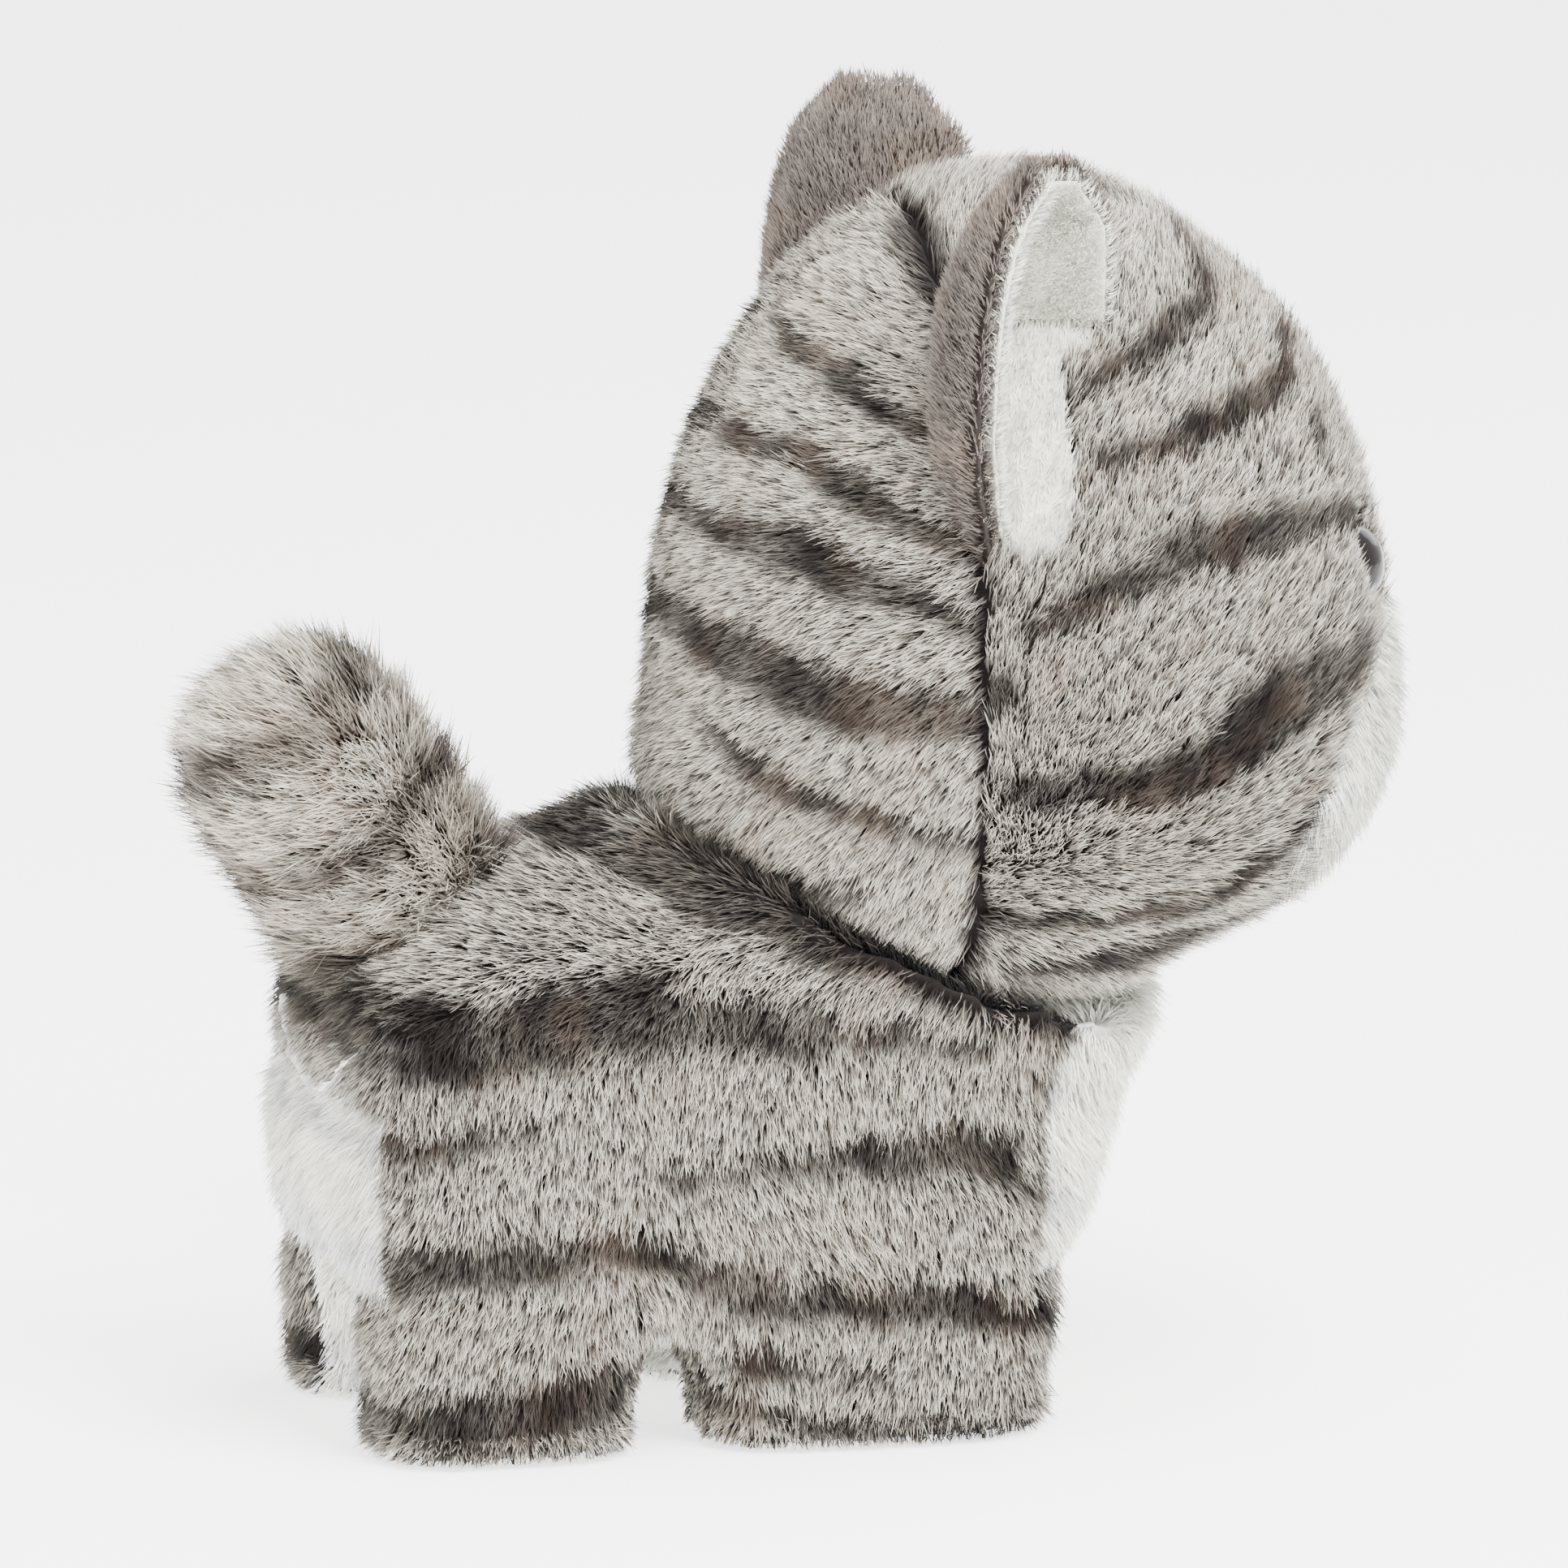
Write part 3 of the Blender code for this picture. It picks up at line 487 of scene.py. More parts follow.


def pile_colour_group():
    """Colour along a fibre: dark root, print, pale tip, small differences between fibres, and painted shade in
    patches the size of locks.
    """
    tree = bpy.data.node_groups.new("pile colour", "ShaderNodeTree")
    for name in ("Root", "Ground", "Tip", "Print", "Print Tip"):
        tree.interface.new_socket(name, in_out="INPUT", socket_type="NodeSocketColor")
    for name in ("Root Share", "Warmth"):
        tree.interface.new_socket(name, in_out="INPUT", socket_type="NodeSocketFloat")
    tree.interface.new_socket("Colour", in_out="OUTPUT", socket_type="NodeSocketColor")
    given = add(tree, "NodeGroupInput").outputs
    along = attribute(tree, "along")
    tint = attribute(tree, "tint")
    cell = attribute(tree, "cell")
    stripe = attribute(tree, "stripe")
    lining = attribute(tree, "lining")
    root = attribute(tree, "root", "Vector")

    def mix(factor, a, b):
        made = add(tree, "ShaderNodeMix", data_type="RGBA")
        shown = [s for s in made.inputs if s.enabled]
        for socket, value in zip(shown, (factor, a, b)):
            if isinstance(value, bpy.types.NodeSocket):
                tree.links.new(value, socket)
            else:
                socket.default_value = value
        return next(s for s in made.outputs if s.enabled)

    def between(value, low, high):
        made = add(tree, "ShaderNodeMapRange", {0: value, 1: low, 2: high}, interpolation_type="SMOOTHSTEP")
        return made.outputs[0]

    patch = add(tree, "ShaderNodeTexNoise", {"Vector": root, "Scale": 70.0, "Detail": 2.0}).outputs[0]
    warm = between(patch, 0.45, 0.72)
    ground = mix(between(along, 0.55, 1.0), given["Ground"], given["Tip"])
    ground = mix(maths(tree, "MULTIPLY", warm, given["Warmth"]), ground, (*WARM_GROUND, 1))
    printed = mix(between(along, 0.6, 1.0), given["Print"], given["Print Tip"])
    printed = mix(maths(tree, "MULTIPLY", warm, 0.45), printed, (*WARM_PRINT, 1))
    face = mix(stripe, ground, printed)
    spread = maths(tree, "ADD", 0.7, maths(tree, "MULTIPLY", cell, 0.6))
    start = maths(tree, "MULTIPLY", given["Root Share"], spread)
    shown = maths(tree, "SUBTRACT", along, start)
    rooted = mix(between(shown, -0.12, 0.22), given["Root"], face)
    light = maths(tree, "ADD", 0.80, maths(tree, "MULTIPLY", tint, 0.30))
    # Painted shade: noise the size of locks of fibres darkens some patches, in place of the shade between locks.
    painted_lock_shade = add(tree, "ShaderNodeTexNoise", {"Vector": root, "Scale": 210.0, "Detail": 1.0}).outputs[0]
    light = maths(tree, "MULTIPLY", light, maths(tree, "ADD", 0.62, maths(tree, "MULTIPLY", painted_lock_shade, 0.76)))
    # Inside an ear's cup the fibres take the cup's white, whose dimming is painted shade.
    lined = mix(between(lining, 0.35, 0.65), rooted, (*CUP_WHITE_WITH_PAINTED_SHADE, 1))
    final = add(tree, "ShaderNodeVectorMath", {0: lined, "Scale": light}, operation="SCALE")
    add(tree, "NodeGroupOutput", {0: final.outputs[0]})
    return tree


PILE_COLOUR = pile_colour_group()
NAP_SHADE = 1.3            # how far the light on a fibre follows the cover below it
NO_PRINT = (0.9, 0.9, 0.9)


def pile_look(name, root, ground, tip, root_share, warmth, printed=NO_PRINT, print_tip=NO_PRINT):
    """A pile material: its colours from root to tip, with and without print."""
    made = bpy.data.materials.new(name)
    made.use_nodes = True
    tree = made.node_tree
    shader = tree.nodes["Principled BSDF"]
    colours = add(tree, "ShaderNodeGroup", node_tree=PILE_COLOUR)
    given = {"Root": root, "Ground": ground, "Tip": tip, "Print": printed, "Print Tip": print_tip}
    for key, value in given.items():
        colours.inputs[key].default_value = (*value, 1)
    colours.inputs["Root Share"].default_value = root_share
    colours.inputs["Warmth"].default_value = warmth
    tree.links.new(colours.outputs[0], shader.inputs["Base Color"])
    own = add(tree, "ShaderNodeNewGeometry").outputs["Normal"]
    nap = scaled(tree, attribute(tree, "nap", "Vector"), NAP_SHADE)
    tree.links.new(vectors(tree, "NORMALIZE", vectors(tree, "ADD", own, nap)), shader.inputs["Normal"])
    shader.inputs["Roughness"].default_value = 0.7
    shader.inputs["Specular IOR Level"].default_value = 0.12
    shader.inputs["Sheen Weight"].default_value = 0.04
    shader.inputs["Sheen Roughness"].default_value = 0.5
    return made


TABBY = pile_look(
    "tabby pile",
    root=(0.012, 0.009, 0.008),
    ground=(0.112, 0.100, 0.088),
    tip=(0.83, 0.78, 0.665),
    printed=(0.007, 0.005, 0.0043),
    print_tip=(0.017, 0.0122, 0.0102),
    root_share=0.36,
    warmth=0.30,
)
WHITE = pile_look(
    "white pile",
    root=(0.74, 0.73, 0.68),
    ground=(0.95, 0.945, 0.84),
    tip=(0.98, 0.975, 0.88),
    root_share=0.25,
    warmth=0.0,
)

# ------------------------------------------------------------------ body covers
# Two striped side panels run down into the legs. White panels close the chest, rump and belly, and
# a flat sole closes each foot. The stuffing presses the cover out between the seams.
SKIN_DEPTH = 0.0050        # the woven backing under the tips of the pile
SOLE_DEPTH = 0.0012
VOXEL = 0.004
SOLE_BAND = 0.006          # below this height a cover is part of a sole
SEAM_SINK = 0.0014         # a seam draws the cover in this far
SEAM_REACH = 0.0045        # within about this of it
SWELL = 0.0015             # the stuffing presses it out again
NECK_NEAR = (0.004, 0.022)  # the head and body stay fuller where they come this near each other
ARCH_HALF_WIDTH = 0.0085   # of the skin between the front and rear legs
ARCH_HEIGHT = 0.027
FOOT_FAN = 2.5             # how far the pile on the feet fans out from between the legs
FOOT_TUCK = 0.0052         # the legs narrow to their feet by this much
RUMP_EDGE = 0.0100         # the rump panel is found this far ahead of its own front edge, once inset
RUMP_TUCK = 0.0035         # the rump is drawn in by this much over its whole height
REAR_TUCK = 0.0060         # how far the tail's seam draws the cover in, below the tail

body_nodes = frame["record"]["behaviour"]["bodies"]["body"]
chest_low, chest_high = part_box("chest_panel")
rump_low, rump_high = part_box("rump_panel")
belly_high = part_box("belly_panel")[1]
sole_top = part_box("sole_front_left")[1].z
leg_middle = (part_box("sole_front_left")[1].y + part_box("sole_rear_left")[0].y) / 2


def body_panel_of(p):
    """The body panel that a point of the cover is in."""
    side = "left" if p[0] > 0 else "right"
    if p[2] < sole_top and abs(p[0]) > belly_high.x / 2:
        return f"sole_{'front' if p[1] < leg_middle else 'rear'}_{side}"
    if p[2] < belly_high.z and abs(p[0]) < belly_high.x:
        return "belly_panel"
    if p[1] < chest_high.y and abs(p[0]) < chest_high.x and p[2] > chest_low.z:
        return "chest_panel"
    if p[1] > rump_low.y - RUMP_EDGE and abs(p[0]) < rump_high.x and rump_low.z < p[2] < rump_high.z:
        return "rump_panel"
    return f"body_side_{side}"


def inset(form, depth):
    """Moves each vertex in along its normal by its own depth."""
    mesh = form.data
    place_points(mesh, points_of(mesh) - normals_of(mesh) * np.asarray(depth)[:, None])


def surface_of(names):
    """The surfaces of some pieces of the frame, to measure from."""
    co, faces = [], []
    for name in names:
        base = len(co)
        co += [v.co.copy() for v in nodes[name].data.vertices]
        faces += [[base + v for v in p.vertices] for p in nodes[name].data.polygons]
    return BVHTree.FromPolygons(co, faces)


def gap_to(co, surface):
    return np.array([surface.find_nearest(Vector(p))[3] for p in co])


def joint_of(name):
    return next(j for j in frame["joints"] if j["name"] == name)


HEAD_PANELS = ["head_back_left", "head_back_right", "head_side_left", "head_side_right", "face_panel"]
NECK_PLUG = 0.027          # radius of the ball that fills the neck's opening
TAIL_PLUG = 0.021          # and of the one in the tail's socket
neck_middle = sum(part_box("stuffing_neck"), Vector()) / 2
tail_root = Vector(joint_of("tail_swing")["pos_m"])
swing = Vector(joint_of("tail_swing")["axis"])
tail_way = Vector((0, swing.z, -swing.y))

body_form = form_of(
    "body_form",
    body_nodes,
    VOXEL,
    [(neck_middle - Vector((0, 0, 0.013)), NECK_PLUG), (tail_root - tail_way * 0.010, TAIL_PLUG)],
)
co, normal = points_of(body_form.data), normals_of(body_form.data)
under = ramp(-normal[:, 2], 0.5, 0.9) * (co[:, 2] < SOLE_BAND)
seam = seam_gap(co, seams_of(body_form.data, body_panel_of))
beside = ramp(gap_to(co, surface_of(HEAD_PANELS)), *NECK_NEAR)
depth = (SKIN_DEPTH + SWELL) * (1 - under) + SOLE_DEPTH * under
belly = ramp(-normal[:, 2], 0.3, 0.8) * (np.abs(co[:, 0]) < belly_high.x) * (co[:, 2] > SOLE_BAND)
depth = depth * (1 - belly) + SOLE_DEPTH * belly
inset(body_form, depth * (0.25 + 0.75 * beside))
body_form = stuffed(body_form, np.where(under > 0, 0.0, seam), 2 * SWELL)
body_form = refined(body_form, 2)
co = points_of(body_form.data)
seam = seam_gap(co, seams_of(body_form.data, body_panel_of))
inset(body_form, SEAM_SINK * np.exp(-((seam / SEAM_REACH) ** 2)) * (co[:, 2] > SOLE_BAND))
co = points_of(body_form.data)
across = np.clip(np.abs(co[:, 1] - leg_middle) / ARCH_HALF_WIDTH, 0, 1)
arch = ARCH_HEIGHT * np.sqrt(1 - across**2) * ramp(np.abs(co[:, 0]), 0.012, 0.024)
co[:, 2] = np.maximum(co[:, 2], arch)
co[:, 1] -= REAR_TUCK * ramp(co[:, 2], 0.060, 0.092) * ramp(co[:, 1], 0.070, 0.100)
foot = 1 - ramp(co[:, 2], 0.0, 0.066)
co[:, 1] -= (RUMP_TUCK + FOOT_TUCK * foot) * ramp(co[:, 1], 0.060, 0.098)
co[:, 1] += 0.5 * FOOT_TUCK * foot * ramp(-co[:, 1], 0.020, 0.045)
place_points(body_form.data, co)

# Each stroke of print: half its width, then (forward or back, height) points, all in millimetres.
BODY_STROKES = [
    (4.0, (84, 112), (66, 117), (40, 112), (9, 102), (-19, 93), (-41, 82)),
    (5.5, (112, 80), (96, 84), (72, 83), (50, 86), (33, 87), (8, 84)),
    (2.5, (8, 84), (-8, 84), (-24, 80)),
    (2.2, (95, 62), (80, 66), (62, 69)),
    (2.5, (104, 64), (102, 56)),
    (3.0, (37, 58), (9, 60), (-19, 60), (-30, 54), (-42, 45)),
    (2.2, (-20, 64), (-30, 60)),
    (4.0, (104, 30), (98, 40), (72, 43), (44, 45)),
    (3.8, (42, 45), (30, 39), (14, 33), (-19, 31), (-42, 24)),
    (2.0, (-36, 72), (-42, 66)),
    (5.0, (104, 18), (90, 12), (69, 12), (50, 17), (41, 22)),
    (2.2, (27, 22), (8, 19), (-6, 16)),
    (2.6, (27, 13), (8, 8), (-10, 5), (-38, 2)),
]


def dress_body(mesh, name):
    """Gives a body panel its combing, print and pile length."""
    co, normal = points_of(mesh), normals_of(mesh)
    high = ramp(co[:, 2], 0.070, 0.108)
    fan = (co[:, 1] - leg_middle) * FOOT_FAN * (1 - ramp(co[:, 2], 0.02, 0.06))
    back = 0.15 + 0.9 * high + 0.4 * wavy(co, 0.09, 3) + fan
    way = np.stack([np.zeros(len(co)), back, -1.0 + 0.75 * high], 1)
    if name == "belly_panel":
        way = np.tile((0.0, 0.3, -1.0), (len(co), 1))
    stray = np.stack([wavy(co, 0.028, s) for s in (5, 6, 8)], 1)
    set_attribute(mesh, "comb", tangent(way + 0.26 * stray, normal), "FLOAT_VECTOR")
    blurred = co + 0.0016 * np.stack([wavy(co, 0.012, s) for s in (11, 12, 13)], 1)
    dark = stroke_mask(blurred[:, 1:], BODY_STROKES, lambda a, b: np.array([a * 0.001, b * 0.001]))
    set_attribute(mesh, "stripe", dark * (0.88 + 0.12 * wavy(co, 0.02, 7)))
    near = seam_gap(co, body_seams)
    arch = np.hypot(co[:, 1] - leg_middle, 1.2 * np.maximum(co[:, 2] - 0.016, 0))
    trim = 0.42 + 0.58 * ramp(arch, 0.6 * ARCH_HALF_WIDTH, 1.9 * ARCH_HALF_WIDTH)
    set_attribute(mesh, "length", (0.72 + 0.28 * ramp(near, 0.0, 0.006)) * trim)
    set_attribute(mesh, "thick", np.ones(len(co)))


REST_HEIGHT = 0.0006       # fibres pressed on the floor lie this high


def above_floor(obj):
    """Fibres that would pass through the floor lie on it."""
    co = points_of(obj.data)
    co[:, 2] = np.maximum(co[:, 2], REST_HEIGHT)
    place_points(obj.data, co)


body_seams = seams_of(body_form.data, body_panel_of)
BODY_PANELS = ["body_side_left", "body_side_right", "chest_panel", "rump_panel", "belly_panel"]
BODY_PANELS += [f"sole_{end}_{side}" for end in ("front", "rear") for side in ("left", "right")]
for seed, (name, skin) in enumerate(panels_from(body_form, body_panel_of, BODY_PANELS).items()):
    dress_body(skin.data, name)
    if name.startswith("body_side"):
        cover = grow(skin, TABBY, 5.5e6, 0.0068, 0.00034, seed, lift=0.95)
    elif name.startswith("sole"):
        cover = grow(skin, TABBY, 3.0e6, 0.0015, 0.00035, seed, lift=0.3)
    elif name == "belly_panel":
        cover = grow(skin, WHITE, 2.4e6, 0.0060, 0.00042, seed)
    else:
        cover = grow(skin, WHITE, 3.4e6, 0.0066, 0.00036, seed, lift=1.1, pull=0.25)
    above_floor(cover)
    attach(cover, "body")
    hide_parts(name)

# ------------------------------------------------------------------ head covers
# An egg of four striped panels, sewn down the middle and down each side behind the ears, with a
# white oval lower face let in between the two side panels.
MUZZLE_FULLER = 0.0030     # the face's stuffing is packed harder, so its short pile stands further out
side_seam_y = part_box("head_side_left")[1].y
face_low, face_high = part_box("face_panel")
face_middle_z = (face_low.z + face_high.z) / 2


def head_panel_of(p):
    side = "left" if p[0] > 0 else "right"
    if p[1] > side_seam_y:
        return f"head_back_{side}"
    oval = (p[0] / face_high.x) ** 2 + ((p[2] - face_middle_z) / (face_high.z - face_middle_z)) ** 2
    return "face_panel" if oval < 1 and p[1] < neck_middle.y else f"head_side_{side}"


head_form = form_of(
    "head_form",
    HEAD_PANELS + ["stuffing_head"],
    VOXEL,
    [(neck_middle + Vector((0, 0, 0.020)), NECK_PLUG)],
)
co = points_of(head_form.data)
seam = seam_gap(co, seams_of(head_form.data, head_panel_of))
beside = ramp(gap_to(co, surface_of(["body_side_left", "body_side_right"])), *NECK_NEAR)
muzzle = 1 - ramp(gap_to(co, surface_of(["face_panel"])), 0.001, 0.008)
muzzle = np.maximum(muzzle, ramp(-co[:, 1], 0.080, 0.108))
inset(head_form, (SKIN_DEPTH + SWELL) * (0.3 + 0.7 * beside) - MUZZLE_FULLER * muzzle)
head_form = stuffed(head_form, seam, 2 * SWELL)
head_form = refined(head_form, 3)
seam = seam_gap(points_of(head_form.data), seams_of(head_form.data, head_panel_of))
inset(head_form, 0.5 * SEAM_SINK * np.exp(-((seam / SEAM_REACH) ** 2)))
head_seams = seams_of(head_form.data, head_panel_of)
head_shell = BVHTree.FromPolygons(
    [v.co for v in head_form.data.vertices], [p.vertices for p in head_form.data.polygons]
)


def on_head(angle, height):
    """A point of the head's skin: degrees from the back round to the side, and millimetres up."""
    a = math.radians(angle)
    way = Vector((-math.sin(a), math.cos(a), 0))
    start = Vector((0, neck_middle.y, height * 0.001))
    hit = head_shell.ray_cast(start, way)[0]
    return np.array(hit if hit is not None else start + way * 0.02)


# As on the body, but each point is (degrees from the back round to the side, height).
HEAD_STROKES = [
    (2.8, (9, 210), (42, 203), (61, 194)),
    (2.6, (26, 229), (47, 222), (59, 216)),
    (2.2, (20, 237), (57, 234)),
    (3.3, (0, 191), (40, 188), (67, 177)),
    (3.9, (2, 176), (43, 172), (70, 162)),
    (5.2, (3, 158), (29, 153), (51, 147), (72, 145)),
    (2.8, (22, 138), (44, 128), (70, 123)),
    (3.2, (0, 115), (23, 112), (50, 111)),
    (3.0, (150, 224), (127, 212), (103, 205), (88, 200)),
    (3.5, (157, 205), (132, 195), (109, 190), (91, 187)),
    (2.8, (146, 188), (139, 184)),
    (4.2, (78, 157), (98, 168), (122, 172), (152, 171)),
    (4.0, (76, 127), (98, 128), (111, 134)),
    (6.3, (104, 130), (116, 138), (139, 146)),
    (2.5, (68, 104), (89, 103), (110, 105), (125, 113), (138, 126)),
    (3.2, (74, 94), (108, 95), (140, 101)),
    (2.6, (180, 212), (180, 186)),
    (2.2, (167, 214), (169, 192)),
]
EYES = {side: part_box(f"eye_{side}") for side in ("left", "right")}
EYE_CLEAR = 0.0085         # no fibres grow this near the middle of an eye
CUP_REACH = 0.0095         # the white lining runs this far down into the ear's cup
EAR_CUP_Y = neck_middle.y + 0.0130
EAR_CUP_Z = 0.1945
ears = surface_of([f"ear_{layer}_{side}" for layer in ("back", "inner") for side in ("left", "right")])
ear_linings = surface_of(["ear_inner_left", "ear_inner_right"])


def dress_head(mesh, name):
    """Combs the back panels down to the middle, the side panels up and forward, the face down."""
    co, normal = points_of(mesh), normals_of(mesh)
    right = np.where(co[:, 0] < 0, 1.0, -1.0)
    angle = np.arctan2(np.abs(co[:, 0]), co[:, 1] - neck_middle.y)
    low = 1 - ramp(co[:, 2], 0.105, 0.205)
    none = np.zeros(len(co))
    if name.startswith("head_back"):
        way = np.stack([np.cos(angle) * right, np.sin(angle), -0.12 - 1.25 * low], 1)
    elif name.startswith("head_side"):
        foot = 1 - ramp(co[:, 2], 0.098, 0.122)
        way = np.stack([none, -0.32 - 0.9 * foot, 1.0 - 0.8 * foot], 1)
    else:
        way = np.stack([0.5 * np.sign(co[:, 0]), none, none - 0.8], 1)
    way = way + 0.26 * np.stack([wavy(co, 0.028, s) for s in (21, 22, 23)], 1)
    set_attribute(mesh, "comb", tangent(way, normal), "FLOAT_VECTOR")
    mirrored = np.stack([-np.abs(co[:, 0]), co[:, 1], co[:, 2]], 1)
    blurred = mirrored + 0.0013 * np.stack([wavy(co, 0.012, s) for s in (31, 32, 33)], 1)
    dark = stroke_mask(blurred, HEAD_STROKES, on_head)
    set_attribute(mesh, "stripe", dark * (0.9 + 0.1 * wavy(co, 0.02, 27)))
    near = seam_gap(co, head_seams)
    length = 1.15 - 0.15 * ramp(near, 0.0, 0.007)
    by_ear = ramp(gap_to(co, ears), 0.0015, 0.0105)
    in_cup = 1 - ramp(gap_to(co, ear_linings) + 0.0010 * wavy(co, 0.006, 35), CUP_REACH - 0.002, CUP_REACH)
    cup = np.hypot((co[:, 1] - EAR_CUP_Y) / 0.0090, (co[:, 2] - EAR_CUP_Z) / 0.0240)
    brim_y, brim_z = co[:, 1] - EAR_CUP_Y + 0.006, co[:, 2] - EAR_CUP_Z - 0.0235
    cup = np.minimum(cup, np.hypot(brim_y / 0.0115, brim_z / 0.0135))
    in_cup = np.maximum(in_cup, 1 - ramp(cup + 0.10 * wavy(co, 0.007, 36), 0.9, 1.08))
    in_cup *= name.startswith("head_side") * (np.abs(co[:, 0]) > 0.040)
    set_attribute(mesh, "lining", in_cup)
    length *= (0.28 + 0.72 * by_ear) * (1 - 0.7 * in_cup)
    thick = np.ones(len(co))
    for low_corner, high_corner in EYES.values():
        gap = np.linalg.norm(co - np.array((low_corner + high_corner) / 2), axis=1)
        length *= 0.45 + 0.55 * ramp(gap, EYE_CLEAR, 2 * EYE_CLEAR)
        thick *= gap > EYE_CLEAR
    stitched = ramp(gap_to(co, surface_of(["nose", "mouth_stitch"])), 0.0055, 0.0120)
    set_attribute(mesh, "length", length * (0.5 + 0.5 * stitched))
    set_attribute(mesh, "thick", thick)


for seed, (name, skin) in enumerate(panels_from(head_form, head_panel_of, HEAD_PANELS).items(), 20):
    dress_head(skin.data, name)
    if name == "face_panel":
        cover = grow(skin, WHITE, 4.0e6, 0.0058, 0.00034, seed, lift=1.1, pull=0.2)
    else:
        cover = grow(skin, TABBY, 5.5e6, 0.0064, 0.00032, seed, lift=0.95)
    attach(cover, "head")
    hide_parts(name)

# ------------------------------------------------------------------ ears
# Each ear is a short-pile taupe back and a smooth white lining, sewn round the rim, turned, cupped
# and caught in the head's side seam. Only the fabric holds it up.
EAR_VOXEL = 0.0013
EAR_DEPTH = 0.0010         # the backing lies this far under the tips of the ear's short pile
EAR_ROOT = 0.0200          # the foot is drawn in from this near the head's backing
EAR_SUNK = 0.0015          # to this far inside it

EAR_BACK = pile_look(
    "ear back pile",
    root=(0.045, 0.035, 0.031),
    ground=(0.130, 0.108, 0.095),
    tip=(0.255, 0.222, 0.195),
    root_share=0.30,
    warmth=0.35,
)
EAR_LINING = pile_look(
    "ear lining pile",
    root=(0.92, 0.91, 0.79),
    ground=(0.98, 0.97, 0.85),
    tip=(0.99, 0.98, 0.87),
    root_share=0.2,
    warmth=0.0,
)
head_middle = Vector((0, neck_middle.y, 0.14))
for seed, side in enumerate(("left", "right"), 40):
    for layer, look, slot_name in (("back", EAR_BACK, "ear_plush"), ("inner", EAR_LINING, "ear_lining")):
        name = f"ear_{layer}_{side}"
        skin = form_of(name + "_cover", [name], EAR_VOXEL)
        smooth = skin.modifiers.new("smooth", "SMOOTH")
        smooth.iterations = 4
        skin = applied(skin)
        inset(skin, np.full(len(skin.data.vertices), EAR_DEPTH))
        co, normal = points_of(skin.data), normals_of(skin.data)
        near = gap_to(co, head_shell)
        pull = (near.min() + EAR_SUNK) / (EAR_ROOT - near.min())
        move = np.maximum(EAR_ROOT - near, 0) * pull
        inward = np.array(head_middle) - co
        co += inward / np.linalg.norm(inward, axis=1, keepdims=True) * move[:, None]
        place_points(skin.data, co)
        up = np.tile(np.array([0.0, 0.0, 1.0]), (len(co), 1))
        way = up + 0.3 * wavy(co, 0.02, 41)[:, None]
        set_attribute(skin.data, "comb", tangent(way, normal), "FLOAT_VECTOR")
        set_attribute(skin.data, "length", np.ones(len(co)))
        set_attribute(skin.data, "thick", np.ones(len(co)))
        set_attribute(skin.data, "stripe", np.zeros(len(co)))
        if layer == "back":
            cover = grow(skin, look, 6.5e6, 0.0034, 0.00030, seed, lift=1.3, clump=0.002, pull=0.3)
        else:
            cover = grow(skin, look, 6.0e6, 0.0030, 0.00026, seed, lift=1.5, clump=0.0016, pull=0.2)
        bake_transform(cover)
        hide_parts(name)

# ------------------------------------------------------------------ tail
# A short thick capsule of the same striped fabric with a longer pile, stuffed and sewn to the rump.
TAIL_RINGS = [(34, 4.5), (11, 4.2), (-9, 4.0)]   # dark rings: millimetres up the tail, half width
TAIL_SUNK = 0.012          # the cover is held still by the rump from this far below its root

TAIL_PILE = pile_look(
    "tail pile",
    root=(0.040, 0.030, 0.025),
    ground=(0.27, 0.235, 0.195),
    tip=(0.90, 0.84, 0.71),
    printed=(0.014, 0.010, 0.009),
    print_tip=(0.060, 0.045, 0.037),
    root_share=0.26,
    warmth=0.55,
)
tail_form = form_of("tail_cover_form", ["tail_cover", "stuffing_tail"], VOXEL)
inset(tail_form, np.full(len(tail_form.data.vertices), SKIN_DEPTH + SWELL))
co = points_of(tail_form.data)
inside_rump = (co - np.array(tail_root)) @ np.array(tail_way) < -TAIL_SUNK
tail_form = stuffed(tail_form, np.where(inside_rump, 0.0, 1.0), SWELL)
tail_form = refined(tail_form, 3)
tail_form.name = "tail_cover_pile"
co, normal = points_of(tail_form.data), normals_of(tail_form.data)
up_tail = (co - np.array(tail_root)) @ np.array(tail_way) * 1000
way = np.tile(np.array(tail_way) * 0.75 + np.array([0, 0.55, -0.3]), (len(co), 1))
way += 0.25 * np.stack([wavy(co, 0.03, s) for s in (51, 52, 53)], 1)
rings = np.zeros(len(co))
for middle, half in TAIL_RINGS:
    gap = np.abs(up_tail + 2.5 * wavy(co, 0.03, 54) - middle)
    rings = np.maximum(rings, 1 - ramp(gap, 0.6 * half, 1.3 * half))
set_attribute(tail_form.data, "comb", tangent(way, normal), "FLOAT_VECTOR")
set_attribute(tail_form.data, "stripe", rings * (0.78 + 0.22 * wavy(co, 0.02, 55)))
set_attribute(tail_form.data, "length", np.ones(len(co)))
set_attribute(tail_form.data, "thick", np.ones(len(co)))
cover = grow(
    tail_form, TAIL_PILE, 6.0e6, 0.0092, 0.00038, 60, lift=1.0, clump=0.0048, pull=0.75, jitter=0.3
)
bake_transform(cover)
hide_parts("tail_cover")

# ------------------------------------------------------------------ eyes, nose and mouth
# Glossy domes on stems, locked behind the fabric by washers; a satin-stitched nose; a mouth in
# dark thread.


GRAIN_HEIGHT = 0.0003


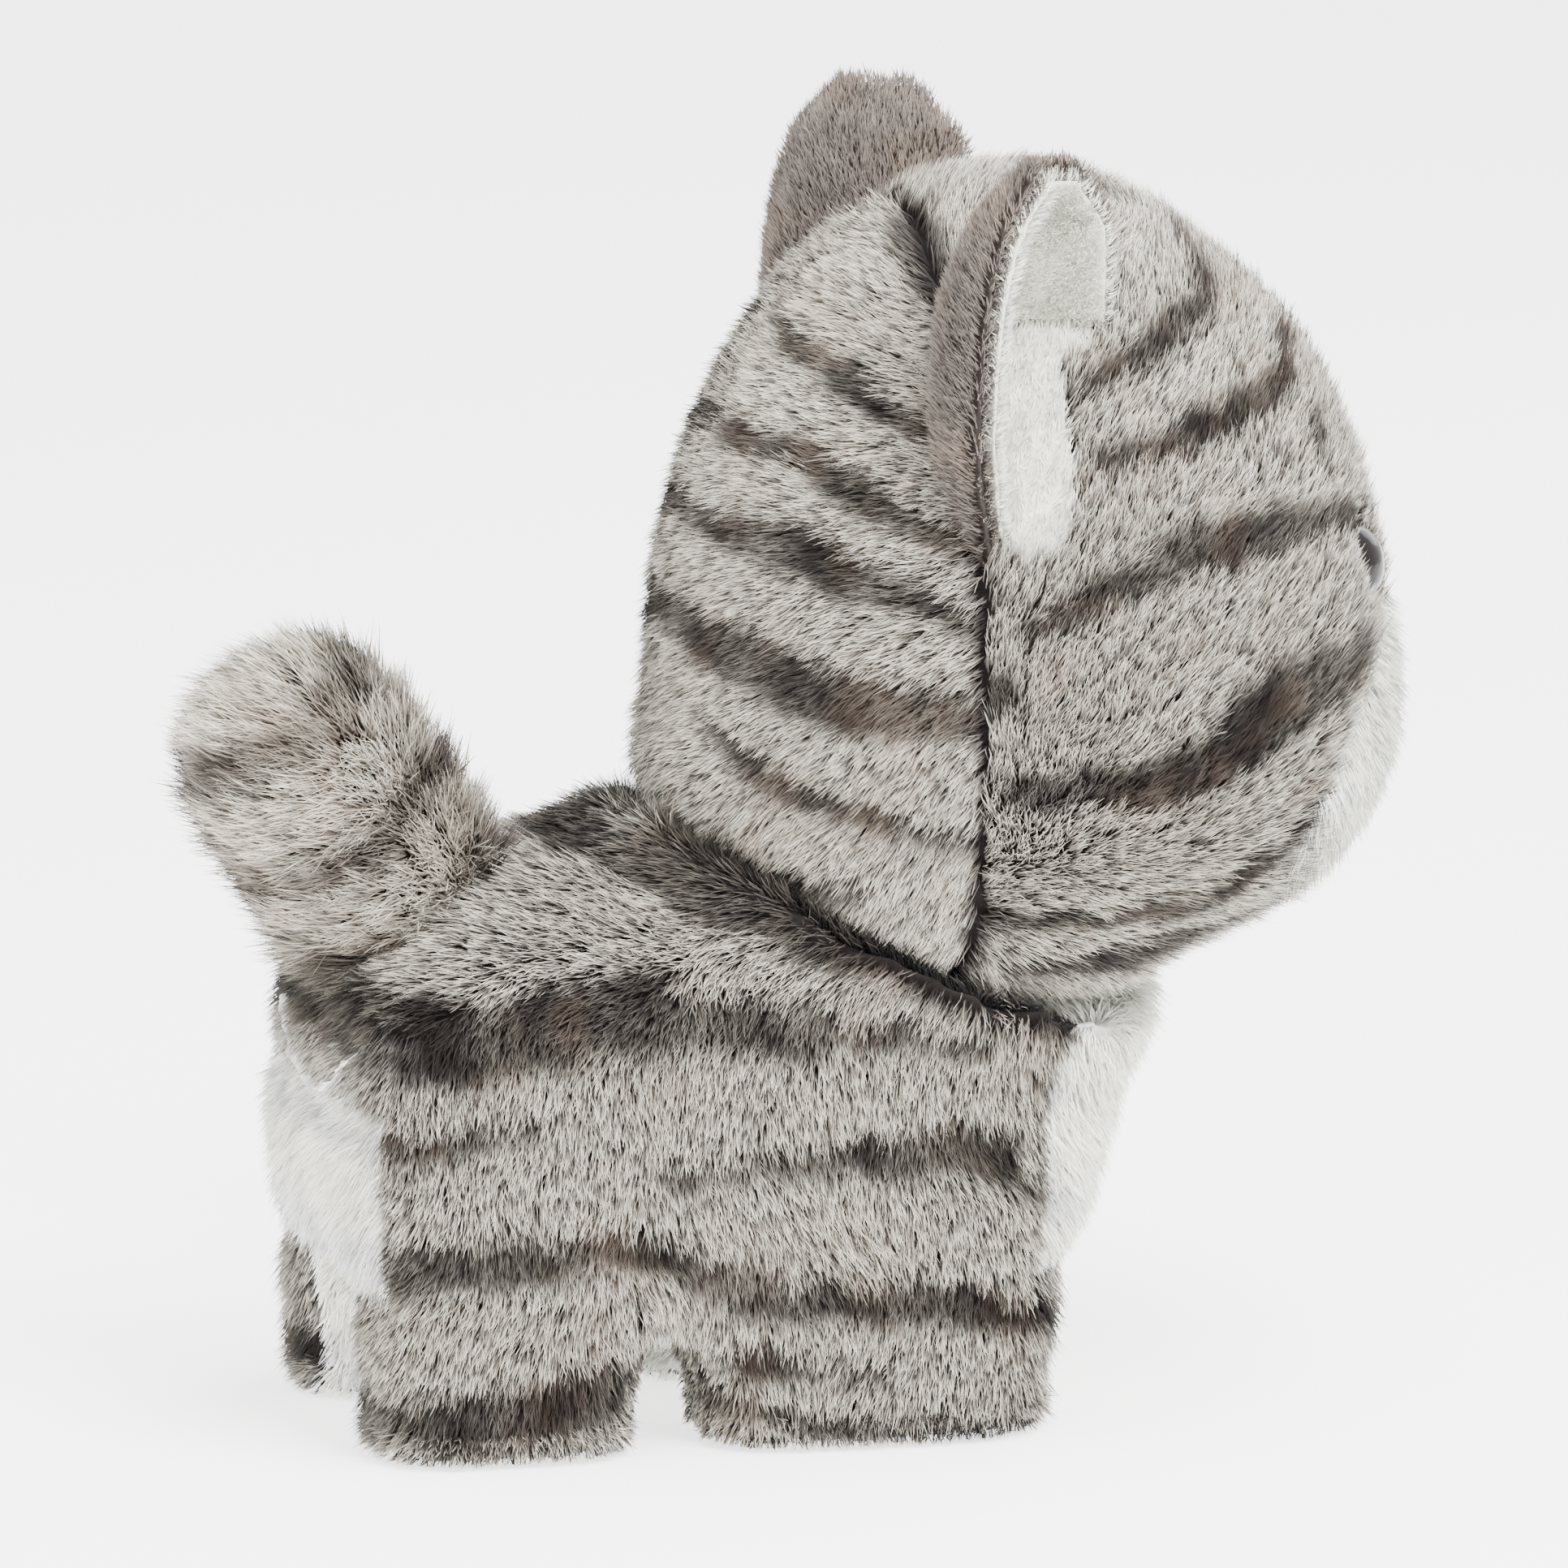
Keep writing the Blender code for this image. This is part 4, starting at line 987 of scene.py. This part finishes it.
def plain_look(name, colour, roughness, scale, depth, contrast=0.25, stretch=(1, 1, 1)):
    """A finish with fine grain: noise for its colour and its height."""
    made = bpy.data.materials.new(name)
    made.use_nodes = True
    tree = made.node_tree
    shader = tree.nodes["Principled BSDF"]
    here = add(tree, "ShaderNodeTexCoord").outputs["Object"]
    place = add(tree, "ShaderNodeMapping", {"Vector": here, "Scale": stretch})
    noise = {"Vector": place.outputs[0], "Scale": scale, "Detail": 4.0}
    grain = add(tree, "ShaderNodeTexNoise", noise).outputs[0]
    shade = add(tree, "ShaderNodeMix", {"Factor": grain}, data_type="RGBA")
    shown = [s for s in shade.inputs if s.enabled]
    shown[1].default_value = (*[c * (1 - contrast) for c in colour], 1)
    shown[2].default_value = (*[min(1.0, c * (1 + contrast)) for c in colour], 1)
    tree.links.new(next(s for s in shade.outputs if s.enabled), shader.inputs["Base Color"])
    bump = add(tree, "ShaderNodeBump", {"Height": grain, "Strength": depth, "Distance": GRAIN_HEIGHT})
    tree.links.new(bump.outputs[0], shader.inputs["Normal"])
    shader.inputs["Roughness"].default_value = roughness
    return made


def smoothed_copy(name, node, levels):
    """A smooth mesh in place of a faceted one of the frame."""
    bm = bmesh.new()
    bm.from_mesh(nodes[node].data)
    bmesh.ops.remove_doubles(bm, verts=bm.verts, dist=1e-6)
    mesh = bpy.data.meshes.new(name)
    bm.to_mesh(mesh)
    bm.free()
    mesh.shade_smooth()
    mesh.materials.clear()
    made = bpy.data.objects.new(name, mesh)
    scene.collection.objects.link(made)
    fine = made.modifiers.new("fine", "SUBSURF")
    fine.levels = levels
    fine.render_levels = levels
    return applied(made)


EYE_GLOSS = plain_look("eye gloss", (0.006, 0.004, 0.004), 0.12, 40.0, 0.02)
EYE_GLOSS.node_tree.nodes["Principled BSDF"].inputs["Specular IOR Level"].default_value = 0.22
SATIN_STITCH = plain_look("nose satin stitch", (0.38, 0.13, 0.13), 0.5, 60.0, 0.9, 0.18, (30, 4, 4))
MOUTH_THREAD = plain_look("mouth thread", (0.10, 0.07, 0.06), 0.6, 900.0, 0.6)
# Each piece: its name, finish and slot, how far it sinks into the pile, and its rounds of smoothing.
for name, look, slot_name, sink, levels in (
    ("eye_left", EYE_GLOSS, "eye_plastic", 0.0026, 2),
    ("eye_right", EYE_GLOSS, "eye_plastic", 0.0026, 2),
    ("nose", SATIN_STITCH, "nose_thread", 0.0026, 2),
    ("mouth_stitch", MOUTH_THREAD, "mouth_thread", 0.0030, 1),
):
    piece = smoothed_copy(name + "_smooth", name, levels)
    piece.data.transform(Matrix.Translation((0, sink, 0)))
    piece.data.materials.append(look)
    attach(piece, "head")
    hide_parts(name)

# ------------------------------------------------------------------ stuffing and inner pieces
# Polyester wadding fills every part, a woven pouch of pellets weighs the belly down, and lock
# washers hold the eyes.
WADDING = plain_look("wadding", (0.90, 0.90, 0.88), 0.95, 260.0, 1.0, 0.08)
POUCH_CLOTH = plain_look("pouch cloth", (0.74, 0.72, 0.66), 0.85, 700.0, 0.8, 0.12)
WASHER = plain_look("washer plastic", (0.72, 0.72, 0.72), 0.4, 90.0, 0.1, 0.05)
owner = {n: body for body, names in frame["record"]["behaviour"]["bodies"].items() for n in names}
# Pressed wadding lies this far inside the space for it: by piece, and for the legs and neck.
WAD_SHRINK = {
    "stuffing_body": 0.0095,
    "stuffing_head": 0.0035,
    "stuffing_tail": 0.0035,
    "pellet_pouch": 0.0010,
}
LIMB_WAD_SHRINK = 0.0060
WAD_VOXEL = 0.0025
for name in [n for n in nodes if n.startswith("stuffing")] + ["pellet_pouch"]:
    wad = form_of(name + "_soft", [name], WAD_VOXEL)
    inset(wad, np.full(len(wad.data.vertices), WAD_SHRINK.get(name, LIMB_WAD_SHRINK)))
    wad.data.shade_smooth()
    wad.data.materials.clear()
    wad.data.materials.append(WADDING if name.startswith("stuffing") else POUCH_CLOTH)
    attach(wad, owner[name])
    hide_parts(name)
for side in ("left", "right"):
    washer = nodes[f"eye_washer_{side}"]
    washer.data.materials.clear()
    washer.data.materials.append(WASHER)
